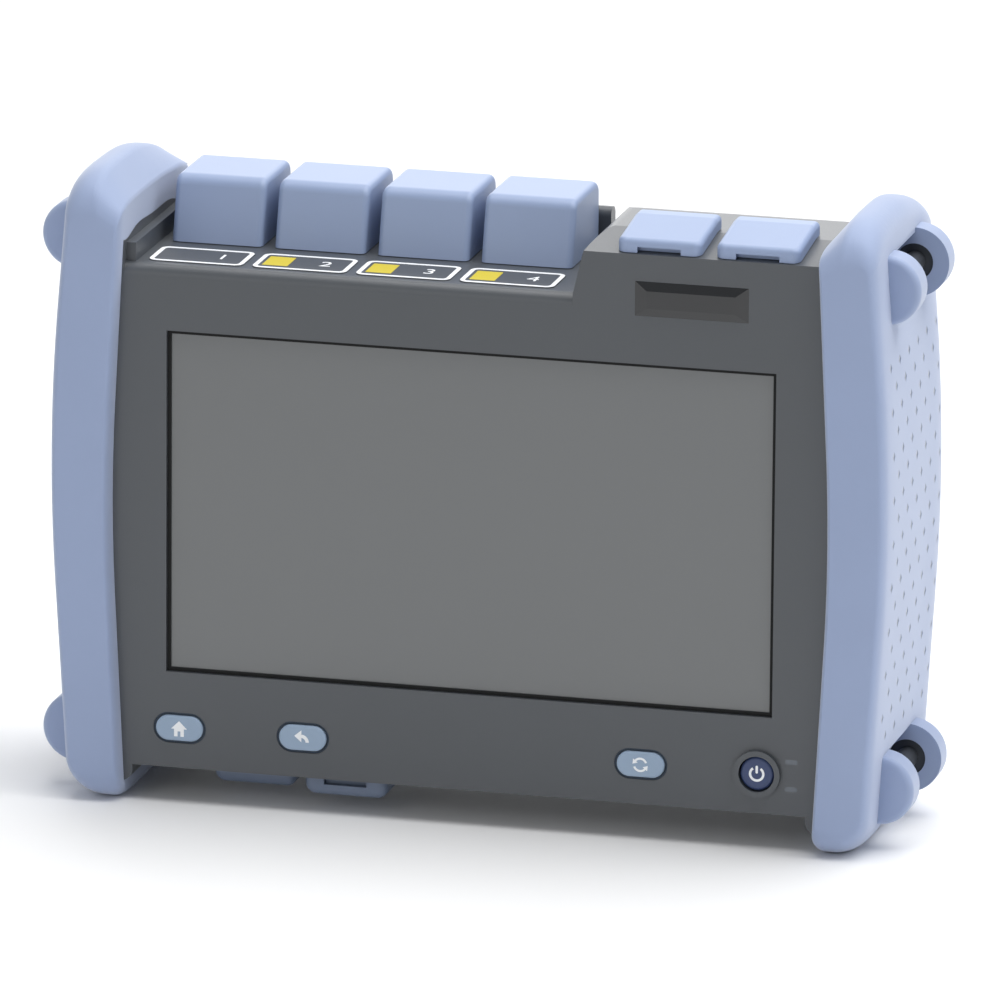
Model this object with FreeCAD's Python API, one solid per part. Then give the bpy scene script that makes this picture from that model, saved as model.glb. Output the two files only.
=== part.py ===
"""A seven-inch optical time domain reflectometer, built piece by piece.

Millimetres.  X runs to the right, Y to the rear and Z up.  The origin is the middle of the
whole object on the table that its two bumpers stand on.
"""
import FreeCAD, Part
import math
import os

Vector = FreeCAD.Vector

# --- the two moulded case shells ---
CASE_WIDTH = 188.0
CASE_DEPTH = 58.0
CASE_LIFT = 9.4  # table to case floor
SPLIT_DEPTH = 24.2  # front face to the joint between the shells
FRONT_WALL = 3.0
WALL = 2.5
ROOT = 0.5  # how far a rib, post or shelf runs into the wall that carries it

# --- the case top: port ledge at the left, socket block at the right ---
LEDGE_RISE = 128.9  # case floor to port ledge
LEDGE_ROUND = 3.0
BLOCK_RISE = 140.2  # case floor to the front edge of the socket block
BLOCK_CROWN = 2.4  # how far the block climbs behind that edge
BLOCK_SLOPE_DEPTH = 18.0
BLOCK_FLAT_DEPTH = 19.5
BLOCK_REAR_DROP = 5.0
BLOCK_LEFT = 26.0  # foot of the block's left flank
BLOCK_FLANK_LEAN = 3.2
BLOCK_FLANK_ROUND = 4.0

# --- the thick cheeks that the bumpers are pulled over ---
CHEEK_WIDTH = 7.5
CHEEK_DROP = 4.4  # below the case floor
CHEEK_ROUND = 3.0
PARAPET_RISE = 4.7  # above the ledge
PARAPET_WIDTH = 2.4
CHEEK_RISE = 12.2  # above the ledge

# --- elastomer bumpers ---
BUMPER_PROUD_FRONT = 5.0
BUMPER_PROUD_REAR = 3.0
BUMPER_TOP = 161.0
BUMPER_MID_WIDTH = 212.8  # over both bumpers where they bow out most
BUMPER_BOW_HEIGHT = 92.0
BUMPER_FOOT_WIDTH = 205.4
BUMPER_HEAD_WIDTH = 205.8
BUMPER_GRIP_GAP = 182.0  # between the inner edges at mid height
BUMPER_END_GAP = 177.0  # between the inner edges at top and bottom
BUMPER_FRONT_ROUND = 4.5
BUMPER_REAR_ROUND = 5.0
BUMPER_CORNER_ROUND = 9.5
BUMPER_RIDGE_HEIGHT = 153.3  # inner edge of the top
BUMPER_CROWN_SHARE = 0.45  # where the top is highest, from its inner to its outer edge
BUMPER_FRONT_FALL = 6.0
BUMPER_REAR_FALL = 9.0
BUMPER_CROWN_START = 15.0  # bumper front to where the top is highest
BUMPER_CROWN_END = 29.0
BUMPER_FLAT_TRIM = 0.5  # foot moulded flat by this much
BUMPER_EDGE_ROUND = 3.0
BUMPER_BOW_RADIUS = 500.0
BUMPER_MIDDLE_STATIONS = 4
RIDGE_FALL_SHARE = 0.35  # how far the inner edge follows the top's fall
FOOT_FALL_SHARE = 0.6
INNER_INSET_SHARE = 0.35
OUTER_FRONT_SHARE = 0.4  # the outer side meets the front face in a tighter edge
BUMPER_LIP_ROUND = 1.4  # inner edge of the top
LIP_INSET_SHARE = 0.2
CORNER_INSET_SHARE = 1.4  # how fast the round corners shrink as an edge turns
EDGE_INSET_SHARE = 0.42
HEAD_CORNER_SHARE = 0.66  # the top outer corner, as a share of the foot's
EDGE_TURNS = (0, 25, 50, 70, 90)  # degrees

# --- hand strap bars and their ears ---
EAR_RADIUS = 8.8
EAR_ROUND = 1.6  # rims of the ears' outer faces
EAR_THICKNESS = 7.6
EAR_FRONT_DEPTH = 7.0  # case front to the front ear
EAR_GAP = 24.0
EAR_AXIS_X = 103.3
EAR_TOP_HEIGHT = 142.8
EAR_FOOT_HEIGHT = 15.5
STRAP_NOTCH_RADIUS = 7.6
STRAP_BAR_RADIUS = 2.6
STRAP_COLLAR_RADIUS = 4.7
STRAP_COLLAR_LENGTH = 3.0
STRAP_COLLAR_SINK = 1.0

# --- display stack ---
SCREEN_WIDTH = 155.5
SCREEN_HEIGHT = 87.7
SCREEN_RISE = 68.6  # case floor to screen centre
BEZEL_LIP = 1.0
GASKET_THICKNESS = 0.5
GASKET_BORDER = 0.9  # part of the gasket that shows inside the opening
GLASS_MARGIN = 2.8  # glass beyond the opening, each side
GLASS_THICKNESS = 1.1
LCD_WIDTH = 164.8
LCD_HEIGHT = 99.0
LCD_THICKNESS = 5.7

# --- keys ---
KEY_RISE = 10.3  # case floor to the row of keys
KEY_LENGTH = 12.2
KEY_HEIGHT = 6.5
KEY_PROUD = 0.6
HOME_KEY_X = -74.2
BACK_KEY_X = -42.3
AUTO_KEY_X = 44.5
POWER_KEY_X = 74.2
POWER_KEY_DIAMETER = 8.7
POWER_GUARD_WIDTH = 1.4
POWER_GUARD_PROUD = 1.2
RIM_WIDTH = 0.5  # navy mat rim that shows round each key
KEY_CLEARANCE = 0.2
KEY_FLANGE = 1.2
KEY_FLANGE_THICKNESS = 0.8
KEY_TRAVEL = 0.8
MAT_RIM_SETBACK = 0.3  # face of the mat's rims behind the case front
KEY_CROWN = 0.5
POWER_KEY_CROWN = 0.9
MAT_THICKNESS = 0.8
MAT_HEIGHT = 12.4
MAT_END_MARGIN = 3.4
DOME_RADIUS = 2.2
DOME_HEIGHT = 0.8
KEYPAD_BOARD_THICKNESS = 1.2
POST_RADIUS = 1.8
KEYPAD_SCREW_RADIUS = 0.9
KEYPAD_SCREW_LENGTH = 3.6
LIGHT_PIPE_X = 82.8
LIGHT_PIPE_LENGTH = 3.1
LIGHT_PIPE_HEIGHT = 1.2
LIGHT_PIPE_SPREAD = 7.0
LIGHT_PIPE_CORNER = 0.4

# --- nameplate ---
NAMEPLATE_X = 56.2
NAMEPLATE_RISE = 129.1  # case floor to plate centre
NAMEPLATE_WIDTH = 28.8
NAMEPLATE_HEIGHT = 8.8
NAMEPLATE_PROUD = 1.1
NAMEPLATE_SINK = 0.6
NAMEPLATE_END_BEVEL = 3.2
NAMEPLATE_SIDE_BEVEL = 2.2

# --- optical ports and their caps ---
PORT_COUNT = 4
PORT_PITCH = 26.55
PORT_FIRST_X = -71.9
PORT_DEPTH = 38.0  # case front to the port axis
CAP_WIDTH = 23.4
CAP_FRONT_DEPTH = 24.7
CAP_HEIGHT = 16.5
CAP_LEAN = 4.2
CAP_WALL = 2.0
CAP_TOP_ROUND = 3.2
CAP_EDGE_ROUND = 1.6
CAP_LIFT = 0.2
HINGE_DEPTH = 55.7  # case front to the caps' pin
HINGE_RISE = 6.9  # ledge to pin
HINGE_PIN_RADIUS = 1.0
RAIL_RADIUS = 2.2
PIN_END = 2.0  # how far the pin passes the end caps' sides
RAIL_END = 0.8
CAP_BACK_GAP = 2.6  # pin axis to the cap's back
KNUCKLE_WIDTH = 12.0
KNUCKLE_GAP = 0.3
RUNNING_FIT = 0.05
PORT_WINDOW = 17.0
PLATE_THICKNESS = 1.8
PLATE_MARGIN = 11.5
FLANGE_SIZE = 13.0
FLANGE_THICKNESS = 1.5
BARREL_RADIUS = 4.5
BARREL_HEIGHT = 10.5
BARREL_TAIL = 7.8
FERRULE_RADIUS = 1.25
FERRULE_DEPTH = 12.0
ADAPTER_SCREW_SPAN = 9.6
ADAPTER_SCREW_RADIUS = 0.8
ADAPTER_SCREW_HEAD = 1.6
ADAPTER_SCREW_LENGTH = 4.0

# --- port labels ---
LABEL_WIDTH = 24.3
LABEL_LENGTH = 14.6
LABEL_DEPTH = 4.4
LABEL_THICKNESS = 0.2
LABEL_CORNER = 2.2

# --- socket covers ---
COVER_SIZE = 21.2
COVER_THICKNESS = 3.6
COVER_LIFT = 0.15
COVER_CORNER = 2.2
TOP_COVER_ROUND = 1.4  # outer edges
BOTTOM_COVER_ROUND = 3.0
COVER_NOTCH_WIDTH = 11.0
COVER_NOTCH_DEPTH = 1.8
COVER_NOTCH_HEIGHT = 1.5
TOP_COVER_FRONT = 0.6
TOP_COVER_1_X = 47.6
TOP_COVER_2_X = 72.5
BOTTOM_COVER_THICKNESS = 4.8
BOTTOM_COVER_1_X = -56.4
BOTTOM_COVER_1_FRONT = 5.6
BOTTOM_COVER_2_X = -31.6
BOTTOM_COVER_2_FRONT = 0.9
COVER_PIN_RADIUS = 0.6
COVER_PIN_SETBACK = 0.8  # cover back to pin axis
COVER_PIN_LIFT = 1.4  # case surface to pin axis
COVER_KNUCKLE_WIDTH = 9.0
COVER_LUG_WIDTH = 2.0
COVER_LUG_RADIUS = 1.2
COVER_LUG_GAP = 0.3

# --- sockets and their boards ---
USB_WIDTH = 14.4
USB_DEPTH = 7.0
USB_LENGTH = 15.0
USB_MOUTH_WIDTH = 12.5
USB_MOUTH_DEPTH = 5.2
USB_MOUTH_LENGTH = 9.5
LAN_WIDTH = 15.8
LAN_DEPTH = 13.6
LAN_MOUTH_WIDTH = 11.8
LAN_MOUTH_DEPTH = 8.0
LAN_MOUTH_LENGTH = 10.0
SOCKET_SINK = 0.6  # case surface to socket mouth
DC_WIDTH = 9.0
DC_DEPTH = 11.0
DC_HOLE_RADIUS = 3.0
DC_HOLE_DEPTH = 10.0
DC_PIN_RADIUS = 1.0
DEVICE_USB_WIDTH = 12.0
DEVICE_USB_DEPTH = 10.8
DEVICE_USB_MOUTH_WIDTH = 8.6
DEVICE_USB_MOUTH_DEPTH = 7.8
DEVICE_USB_MOUTH_LENGTH = 9.0
BOTTOM_SOCKET_LENGTH = 13.6
DEVICE_USB_SETBACK = 2.4  # cover middle to socket middle
SOCKET_CLEARANCE = 0.3
BOARD_THICKNESS = 1.6
SOCKET_SHELF_WIDTH = 2.5
SHELF_REACH = 4.5
SHELF_HEIGHT = 4.0
SOCKET_BOARD_MARGIN = 1.0

# --- chassis, boards and modules ---
COLUMN_X = 86.2
COLUMN_TOP_RISE = 114.6
COLUMN_MID_RISE = 68.6
COLUMN_FOOT_RISE = 22.6
COLUMN_RADIUS = 3.4
SCREW_RADIUS = 1.5
SCREW_HEAD_RADIUS = 2.7
SCREW_HEAD_HEIGHT = 1.8
SCREW_TIP_DEPTH = 4.4
CHASSIS_THICKNESS = 1.5
CHASSIS_WIDTH = 181.0
CHASSIS_HEIGHT = 100.0
CHASSIS_CORNER = 4.0
STANDOFF_HEIGHT = 4.0
STANDOFF_RADIUS = 2.6
STANDOFF_HOLE_RADIUS = 1.25
BOARD_SCREW_LENGTH = 4.0
BOARD_SCREW_HEAD_RADIUS = 2.2
BOARD_SCREW_HEAD_HEIGHT = 1.4
MAIN_BOARD_WIDTH = 150.0
MAIN_BOARD_HEIGHT = 66.0
MAIN_BOARD_RISE = 62.0  # case floor to board centre
MAIN_BOARD_MARGIN = 4.5
MAIN_BOARD_CORNER = 1.5
SHIELD_WIDTH = 38.0
SHIELD_HEIGHT = 30.0
SHIELD_THICKNESS = 3.2
FAN_OUT_X = -34.0
MODULE_WIDTH = 97.0
MODULE_HEIGHT = 28.0
MODULE_DEPTH = 22.0
MODULE_EAR_WIDTH = 9.0
MODULE_EAR_HEIGHT = 6.0
MODULE_EAR_SPAN = 76.0
MODULE_EAR_THICKNESS = 2.0
MODULE_CORNER = 1.5
MODULE_EAR_CORNER = 0.8
SPEAKER_RADIUS = 10.0
SPEAKER_THICKNESS = 4.0
SPEAKER_X = 66.0
SPEAKER_RISE = 104.0
GRILLE_HOLE_RADIUS = 0.9
GRILLE_PITCH = 3.6
GRILLE_RINGS = 2

# --- battery ---
BATTERY_WIDTH = 84.0
BATTERY_HEIGHT = 54.0
BATTERY_DEPTH = 18.6
BATTERY_RISE = 50.0  # case floor to battery centre
BATTERY_CLEARANCE = 0.4
BATTERY_CORNER = 3.0
WELL_WALL = 1.8
DOOR_MARGIN = 5.0  # door beyond the well, each side
DOOR_THICKNESS = 2.2
DOOR_CLEARANCE = 0.3
DOOR_CORNER = 1.0
DOOR_SCREW_RADIUS = 1.25
DOOR_SCREW_HEAD_RADIUS = 2.4
DOOR_SCREW_HEAD_HEIGHT = 1.2
DOOR_SCREW_LENGTH = 5.0

# --- tilt stand ---
STAND_WIDTH = 126.0
STAND_LEG_WIDTH = 10.0
STAND_FOOT_WIDTH = 9.0
STAND_THICKNESS = 4.0
STAND_PIVOT_RISE = 84.0
STAND_FOOT_RISE = 5.5
STAND_CLEARANCE = 0.4
STAND_BACKING = 1.8
STAND_PIN_RADIUS = 1.1
STAND_PIN_GRIP = 2.4
STAND_SCOOP_WIDTH = 30.0
STAND_SCOOP_HEIGHT = 3.0
STAND_CORNER_ROUND = 6.0

# --- seal between the shells ---
SEAL_INSET = 0.75
SEAL_WIDTH = 0.9
SEAL_THICKNESS = 1.2

# --- planes that several pieces share ---
half_depth = (BUMPER_PROUD_FRONT + CASE_DEPTH + BUMPER_PROUD_REAR) / 2
front = BUMPER_PROUD_FRONT - half_depth
rear = front + CASE_DEPTH
split = front + SPLIT_DEPTH
floor = CASE_LIFT
ledge = floor + LEDGE_RISE
block_front_top = floor + BLOCK_RISE
block_top = block_front_top + BLOCK_CROWN
half_case = CASE_WIDTH / 2
cheek_inner = half_case - CHEEK_WIDTH
screen_z = floor + SCREEN_RISE
key_z = floor + KEY_RISE
gasket_y = front + BEZEL_LIP
glass_y = gasket_y + GASKET_THICKNESS
lcd_y = glass_y + GLASS_THICKNESS
chassis_y = lcd_y + LCD_THICKNESS
standoff_y = chassis_y + CHASSIS_THICKNESS
board_y = standoff_y + STANDOFF_HEIGHT
mat_y = front + FRONT_WALL
flange_y = mat_y + MAT_THICKNESS + KEY_CLEARANCE
dome_y = flange_y + KEY_FLANGE_THICKNESS + KEY_TRAVEL + 0.1
keypad_y = dome_y + DOME_HEIGHT
hinge_y = front + HINGE_DEPTH
hinge_z = ledge + HINGE_RISE
cap_back = hinge_y - CAP_BACK_GAP
port_y = front + PORT_DEPTH
plate_top = ledge - WALL
port_xs = [PORT_FIRST_X + number * PORT_PITCH for number in range(PORT_COUNT)]


# --- drawing helpers ---
def box(x0, x1, y0, y1, z0, z1):
    return Part.makeBox(x1 - x0, y1 - y0, z1 - z0, Vector(x0, y0, z0))


def rod_x(radius, x0, x1, y, z):
    return Part.makeCylinder(radius, x1 - x0, Vector(x0, y, z), Vector(1, 0, 0))


def rod_y(radius, y0, y1, x, z):
    return Part.makeCylinder(radius, y1 - y0, Vector(x, y0, z), Vector(0, 1, 0))


def rod_z(radius, z0, z1, x, y):
    return Part.makeCylinder(radius, z1 - z0, Vector(x, y, z0), Vector(0, 0, 1))


def join(first, *others):
    return first.fuse(list(others)).removeSplitter()


def rounded_wire(points, radii):
    """A closed wire through the points, with each corner turned by its own radius."""
    edges = []
    starts = []
    ends = []
    count = len(points)
    for index in range(count):
        corner = points[index]
        before = (points[index - 1] - corner).normalize()
        after = (points[(index + 1) % count] - corner).normalize()
        radius = radii[index]
        if radius <= 0:
            starts.append(corner)
            ends.append(corner)
            edges.append(None)
            continue
        half_angle = before.getAngle(after) / 2
        tangent = radius / math.tan(half_angle)
        start = corner + before * tangent
        end = corner + after * tangent
        middle_way = (before + after).normalize()
        nearest = radius / math.sin(half_angle) - radius
        starts.append(start)
        ends.append(end)
        edges.append(Part.Arc(start, corner + middle_way * nearest, end).toShape())
    outline = []
    for index in range(count):
        if edges[index]:
            outline.append(edges[index])
        following = starts[(index + 1) % count]
        if (following - ends[index]).Length > 1e-6:
            outline.append(Part.LineSegment(ends[index], following).toShape())
    return Part.Wire(outline)


def prism_x(profile, x0, x1, radii=None):
    """A (y, z) profile pushed along X."""
    points = [Vector(x0, y, z) for y, z in profile]
    wire = rounded_wire(points, radii or [0] * len(points))
    return Part.Face(wire).extrude(Vector(x1 - x0, 0, 0))


def prism_y(profile, y0, y1, radii=None):
    """An (x, z) profile pushed along Y."""
    points = [Vector(x, y0, z) for x, z in profile]
    wire = rounded_wire(points, radii or [0] * len(points))
    return Part.Face(wire).extrude(Vector(0, y1 - y0, 0))


def plate_y(width, height, radius, y0, y1, x, z):
    """A rounded rectangle facing the front."""
    left = x - width / 2
    right = x + width / 2
    low = z - height / 2
    high = z + height / 2
    corners = [(left, low), (right, low), (right, high), (left, high)]
    return prism_y(corners, y0, y1, [radius] * 4)


def plate_z(width, length, radius, z0, z1, x, y):
    """A rounded rectangle facing up."""
    left = x - width / 2
    right = x + width / 2
    near = y - length / 2
    far = y + length / 2
    corners = [Vector(left, near, z0), Vector(right, near, z0),
               Vector(right, far, z0), Vector(left, far, z0)]
    return Part.Face(rounded_wire(corners, [radius] * 4)).extrude(Vector(0, 0, z1 - z0))


def pill(length, height, y0, y1, x, z):
    return plate_y(length, height, height / 2 - 0.001, y0, y1, x, z)


def mirrored(shape):
    return shape.mirror(Vector(0, 0, 0), Vector(1, 0, 0))


# --- case ---
def case_form(side=0.0, near=0.0, far=0.0, shell=0.0):
    """The outside of the case, or its inside when walls are given."""
    half = half_case - side
    y0 = front + near
    y1 = rear - far
    low = floor + shell
    slope = BLOCK_CROWN / BLOCK_SLOPE_DEPTH
    body_profile = [(y0, low), (y1, low), (y1, ledge - shell), (y0, ledge - shell)]
    body = prism_x(body_profile, -half, half, [0, 0, 0, LEDGE_ROUND])
    flat_start = front + BLOCK_SLOPE_DEPTH
    flat_end = flat_start + BLOCK_FLAT_DEPTH
    block_profile = [
        (y0, low),
        (y1, low),
        (y1, block_top - BLOCK_REAR_DROP - shell),
        (flat_end, block_top - shell),
        (flat_start, block_top - shell),
        (y0, block_front_top + slope * near - shell),
    ]
    block = prism_x(block_profile, BLOCK_LEFT + side, half)
    flank_foot = BLOCK_LEFT + side
    flank_head = flank_foot + BLOCK_FLANK_LEAN
    flank_profile = [(flank_foot, low), (half, low), (half, block_top),
                     (flank_head, block_top), (flank_foot, ledge)]
    flank = prism_y(flank_profile, y0, y1, [0, 0, 0, BLOCK_FLANK_ROUND, 0])
    return body.fuse(block.common(flank))


def cheeks():
    """Thick ends of the case, drawn for the left and mirrored where both sides have them."""
    low = floor - CHEEK_DROP
    foot = [(-half_case, low), (-cheek_inner, low),
            (-cheek_inner, floor + WALL), (-half_case, floor + WALL)]
    left_foot = prism_y(foot, front, rear, [CHEEK_ROUND, CHEEK_ROUND, 0, 0])
    low_wall = ledge + PARAPET_RISE
    parapet = box(-half_case, -cheek_inner, front + LEDGE_ROUND, rear, ledge - WALL, low_wall)
    wall_x = -cheek_inner - PARAPET_WIDTH
    wall = box(-half_case, wall_x, front, rear, ledge - WALL, ledge + CHEEK_RISE)
    return [left_foot, mirrored(left_foot), parapet, wall]


def case_outside():
    return join(case_form(), *cheeks())


def seal_ring():
    """Rubber cord in the joint between the shells."""
    outer = case_form(SEAL_INSET, 0, 0, SEAL_INSET)
    inner = case_form(SEAL_INSET + SEAL_WIDTH, 0, 0, SEAL_INSET + SEAL_WIDTH)
    wide = half_case + 1
    half = SEAL_THICKNESS / 2
    slab = box(-wide, wide, split - half, split + half, 0, BUMPER_TOP)
    return outer.cut(inner).common(slab)


def column_places():
    rises = (COLUMN_FOOT_RISE, COLUMN_MID_RISE, COLUMN_TOP_RISE)
    return [(side * COLUMN_X, floor + rise) for side in (-1, 1) for rise in rises]


def main_board_places():
    half_width = MAIN_BOARD_WIDTH / 2 - MAIN_BOARD_MARGIN
    half_height = MAIN_BOARD_HEIGHT / 2 - MAIN_BOARD_MARGIN
    centre = floor + MAIN_BOARD_RISE
    return [(sx * half_width, centre + sz * half_height) for sx in (-1, 1) for sz in (-1, 1)]


# --- bumpers ---
def bumper_section(depth, inset):
    """The right bumper's outline, seen from the front, at a depth behind its own front face."""
    before = max(0.0, 1 - depth / BUMPER_CROWN_START) ** 2
    after = max(0.0, (depth - BUMPER_CROWN_END) / (2 * half_depth - BUMPER_CROWN_END)) ** 2
    fall = BUMPER_FRONT_FALL * before + BUMPER_REAR_FALL * after
    top = BUMPER_TOP - fall - inset
    ridge = min(BUMPER_RIDGE_HEIGHT - RIDGE_FALL_SHARE * fall - inset, top - 1)
    foot = inset + FOOT_FALL_SHARE * BUMPER_FRONT_FALL * before - BUMPER_FLAT_TRIM
    edge = INNER_INSET_SHARE * inset
    swell = (BUMPER_MID_WIDTH - (BUMPER_FOOT_WIDTH + BUMPER_HEAD_WIDTH) / 2) / 2
    inner_end = BUMPER_END_GAP / 2 + edge
    inner_mid = BUMPER_GRIP_GAP / 2 + (BUMPER_GRIP_GAP - BUMPER_END_GAP) / 4 + edge
    outer = inset * OUTER_FRONT_SHARE if depth < half_depth else inset
    outer_head = BUMPER_HEAD_WIDTH / 2 - outer
    corner = BUMPER_CORNER_ROUND - CORNER_INSET_SHARE * inset
    small = BUMPER_EDGE_ROUND - EDGE_INSET_SHARE * inset
    lip = BUMPER_LIP_ROUND - LIP_INSET_SHARE * inset
    outline = [
        (inner_end, foot, small),
        (BUMPER_FOOT_WIDTH / 2 - outer, foot, corner),
        (BUMPER_MID_WIDTH / 2 + swell / 2 - outer, BUMPER_BOW_HEIGHT, BUMPER_BOW_RADIUS),
        (outer_head, top, HEAD_CORNER_SHARE * corner),
        (inner_end + BUMPER_CROWN_SHARE * (outer_head - inner_end), top, small),
        (inner_end, ridge, lip),
        (inner_mid, screen_z, BUMPER_BOW_RADIUS),
    ]
    points = [Vector(x, depth - half_depth, z) for x, z, radius in outline]
    return rounded_wire(points, [radius for x, z, radius in outline])


def edge_turn(radius):
    """(depth, inset) of each station that turns an edge by this radius."""
    turn = [math.radians(degrees) for degrees in EDGE_TURNS]
    return [(radius * (1 - math.cos(a)), radius * (1 - math.sin(a))) for a in turn]


def bumper_stations():
    """Depths and insets that turn the front and rear edges by their radii."""
    near = edge_turn(BUMPER_FRONT_ROUND)
    far = [(2 * half_depth - depth, inset) for depth, inset in edge_turn(BUMPER_REAR_ROUND)]
    gap = (far[-1][0] - near[-1][0]) / (BUMPER_MIDDLE_STATIONS + 1)
    middle = [(near[-1][0] + gap * (step + 1), 0.0) for step in range(BUMPER_MIDDLE_STATIONS)]
    return near + middle + far[::-1]


def ear_places():
    """(y of the front ear's face, z of the axis) for the head and foot pair of ears."""
    return [(front + EAR_FRONT_DEPTH, height) for height in (EAR_TOP_HEIGHT, EAR_FOOT_HEIGHT)]


def strap_bar(height):
    """A round bar with a collar at each end, which sits in the ears of the right bumper."""
    gap_start = front + EAR_FRONT_DEPTH + EAR_THICKNESS
    gap_end = gap_start + EAR_GAP
    inner = STRAP_COLLAR_SINK
    outer = STRAP_COLLAR_SINK + STRAP_COLLAR_LENGTH
    bar = rod_y(STRAP_BAR_RADIUS, gap_start - outer, gap_end + outer, EAR_AXIS_X, height)
    near = rod_y(STRAP_COLLAR_RADIUS, gap_start - outer, gap_start - inner, EAR_AXIS_X, height)
    far = rod_y(STRAP_COLLAR_RADIUS, gap_end + inner, gap_end + outer, EAR_AXIS_X, height)
    return join(bar, near, far)


def bumper_form():
    """The right bumper with its ears, before the case is taken out of it."""
    sections = [bumper_section(depth, inset) for depth, inset in bumper_stations()]
    body = Part.makeLoft(sections, True, False)
    reach = BUMPER_MID_WIDTH
    body = body.cut(box(0, reach, -reach, reach, -reach, 0))
    for ear_front, height in ear_places():
        gap_start = ear_front + EAR_THICKNESS
        gap_end = gap_start + EAR_GAP
        outer = STRAP_COLLAR_SINK + STRAP_COLLAR_LENGTH
        ears = rod_y(EAR_RADIUS, ear_front, gap_end + EAR_THICKNESS, EAR_AXIS_X, height)
        rims = [edge for edge in ears.Edges if len(edge.Vertexes) == 1]
        body = body.fuse(ears.makeFillet(EAR_ROUND, rims))
        body = body.cut(rod_y(STRAP_NOTCH_RADIUS, gap_start, gap_end, EAR_AXIS_X, height))
        body = body.cut(box(EAR_AXIS_X, EAR_AXIS_X + 2 * EAR_RADIUS, gap_start, gap_end,
                            height - EAR_RADIUS, height + EAR_RADIUS))
        collars = rod_y(STRAP_COLLAR_RADIUS, gap_start - outer, gap_end + outer, EAR_AXIS_X, height)
        body = body.cut(collars)
    return body


# --- front shell ---
def screen_plate(width, height, y0, y1):
    return box(-width / 2, width / 2, y0, y1, screen_z - height / 2, screen_z + height / 2)


def key_sites():
    """(x, length, height) of each key's outline."""
    pills = [(x, KEY_LENGTH, KEY_HEIGHT) for x in (HOME_KEY_X, BACK_KEY_X, AUTO_KEY_X)]
    return pills + [(POWER_KEY_X, POWER_KEY_DIAMETER, POWER_KEY_DIAMETER)]


def key_hole(site, margin, y0, y1):
    x, length, height = site
    return pill(length + 2 * margin, height + 2 * margin, y0, y1, x, key_z)


def light_pipe_places():
    return [(LIGHT_PIPE_X, key_z + sign * LIGHT_PIPE_SPREAD / 2) for sign in (-1, 1)]


def light_pipe(x, z, y0, y1):
    return plate_y(LIGHT_PIPE_LENGTH, LIGHT_PIPE_HEIGHT, LIGHT_PIPE_CORNER, y0, y1, x, z)


def rim_margin(site):
    """Width of what fills the case hole round a key: the mat's rim or the power key's guard."""
    if site[0] == POWER_KEY_X:
        return KEY_CLEARANCE + POWER_GUARD_WIDTH
    return KEY_CLEARANCE + RIM_WIDTH


def nameplate_plate(y0, y1):
    z = floor + NAMEPLATE_RISE
    half = NAMEPLATE_WIDTH / 2
    high = NAMEPLATE_HEIGHT / 2
    return box(NAMEPLATE_X - half, NAMEPLATE_X + half, y0, y1, z - high, z + high)


def socket_shelf(x, y0, y1, z0, z1):
    return box(x - SOCKET_SHELF_WIDTH / 2, x + SOCKET_SHELF_WIDTH / 2, y0, y1, z0, z1)


def front_shell(whole):
    wide = half_case + 1
    shell = whole.common(box(-wide, wide, front - 1, split, 0, BUMPER_TOP))
    shell = shell.cut(screen_plate(SCREEN_WIDTH, SCREEN_HEIGHT, front - 1, glass_y))
    glass_width = SCREEN_WIDTH + 2 * GLASS_MARGIN
    glass_height = SCREEN_HEIGHT + 2 * GLASS_MARGIN
    shell = shell.cut(screen_plate(glass_width, glass_height, gasket_y, lcd_y))
    shell = shell.cut(screen_plate(LCD_WIDTH, LCD_HEIGHT, lcd_y, chassis_y))
    for site in key_sites():
        shell = shell.cut(key_hole(site, rim_margin(site), front - 1, mat_y))
    for x, z in light_pipe_places():
        shell = shell.cut(light_pipe(x, z, front - 1, mat_y))
    shell = shell.cut(nameplate_plate(front, front + NAMEPLATE_SINK))
    columns = [rod_y(COLUMN_RADIUS, mat_y - ROOT, chassis_y, x, z) for x, z in column_places()]
    posts = [rod_y(POST_RADIUS, mat_y - ROOT, keypad_y, x, key_z) for x in keypad_post_xs()]
    shell = shell.fuse(columns + posts + io_shelves())
    back = keypad_y + KEYPAD_BOARD_THICKNESS
    for x in keypad_post_xs():
        shell = shell.cut(rod_y(KEYPAD_SCREW_RADIUS, back - KEYPAD_SCREW_LENGTH, back, x, key_z))
    for x, z in column_places():
        shell = shell.cut(rod_y(SCREW_RADIUS, front + SCREW_TIP_DEPTH, split, x, z))
    return shell


def keypad_post_xs():
    """Middles of the free stretches between the keys."""
    gaps = [(HOME_KEY_X, BACK_KEY_X), (BACK_KEY_X, AUTO_KEY_X), (AUTO_KEY_X, POWER_KEY_X)]
    return [(left + right) / 2 for left, right in gaps]


# --- keys and what lies under them ---
def mat_span():
    reach = KEY_LENGTH / 2 + MAT_END_MARGIN
    return HOME_KEY_X - reach, POWER_KEY_X + reach


def keypad_mat():
    x0, x1 = mat_span()
    sheet = box(x0, x1, mat_y, mat_y + MAT_THICKNESS, key_z - MAT_HEIGHT / 2, key_z + MAT_HEIGHT / 2)
    for site in key_sites()[:3]:
        sheet = sheet.fuse(key_hole(site, rim_margin(site), front + MAT_RIM_SETBACK, mat_y))
    for site in key_sites():
        sheet = sheet.cut(key_hole(site, KEY_CLEARANCE, front - 1, flange_y))
    for x in keypad_post_xs():
        sheet = sheet.cut(rod_y(POST_RADIUS, mat_y, mat_y + MAT_THICKNESS, x, key_z))
    for x, z in light_pipe_places():
        sheet = sheet.cut(light_pipe(x, z, mat_y, mat_y + MAT_THICKNESS))
    return sheet


def power_guard():
    site = key_sites()[3]
    ring = key_hole(site, rim_margin(site), front - POWER_GUARD_PROUD, mat_y)
    return ring.cut(key_hole(site, KEY_CLEARANCE, front - 2 * POWER_GUARD_PROUD, mat_y))


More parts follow.
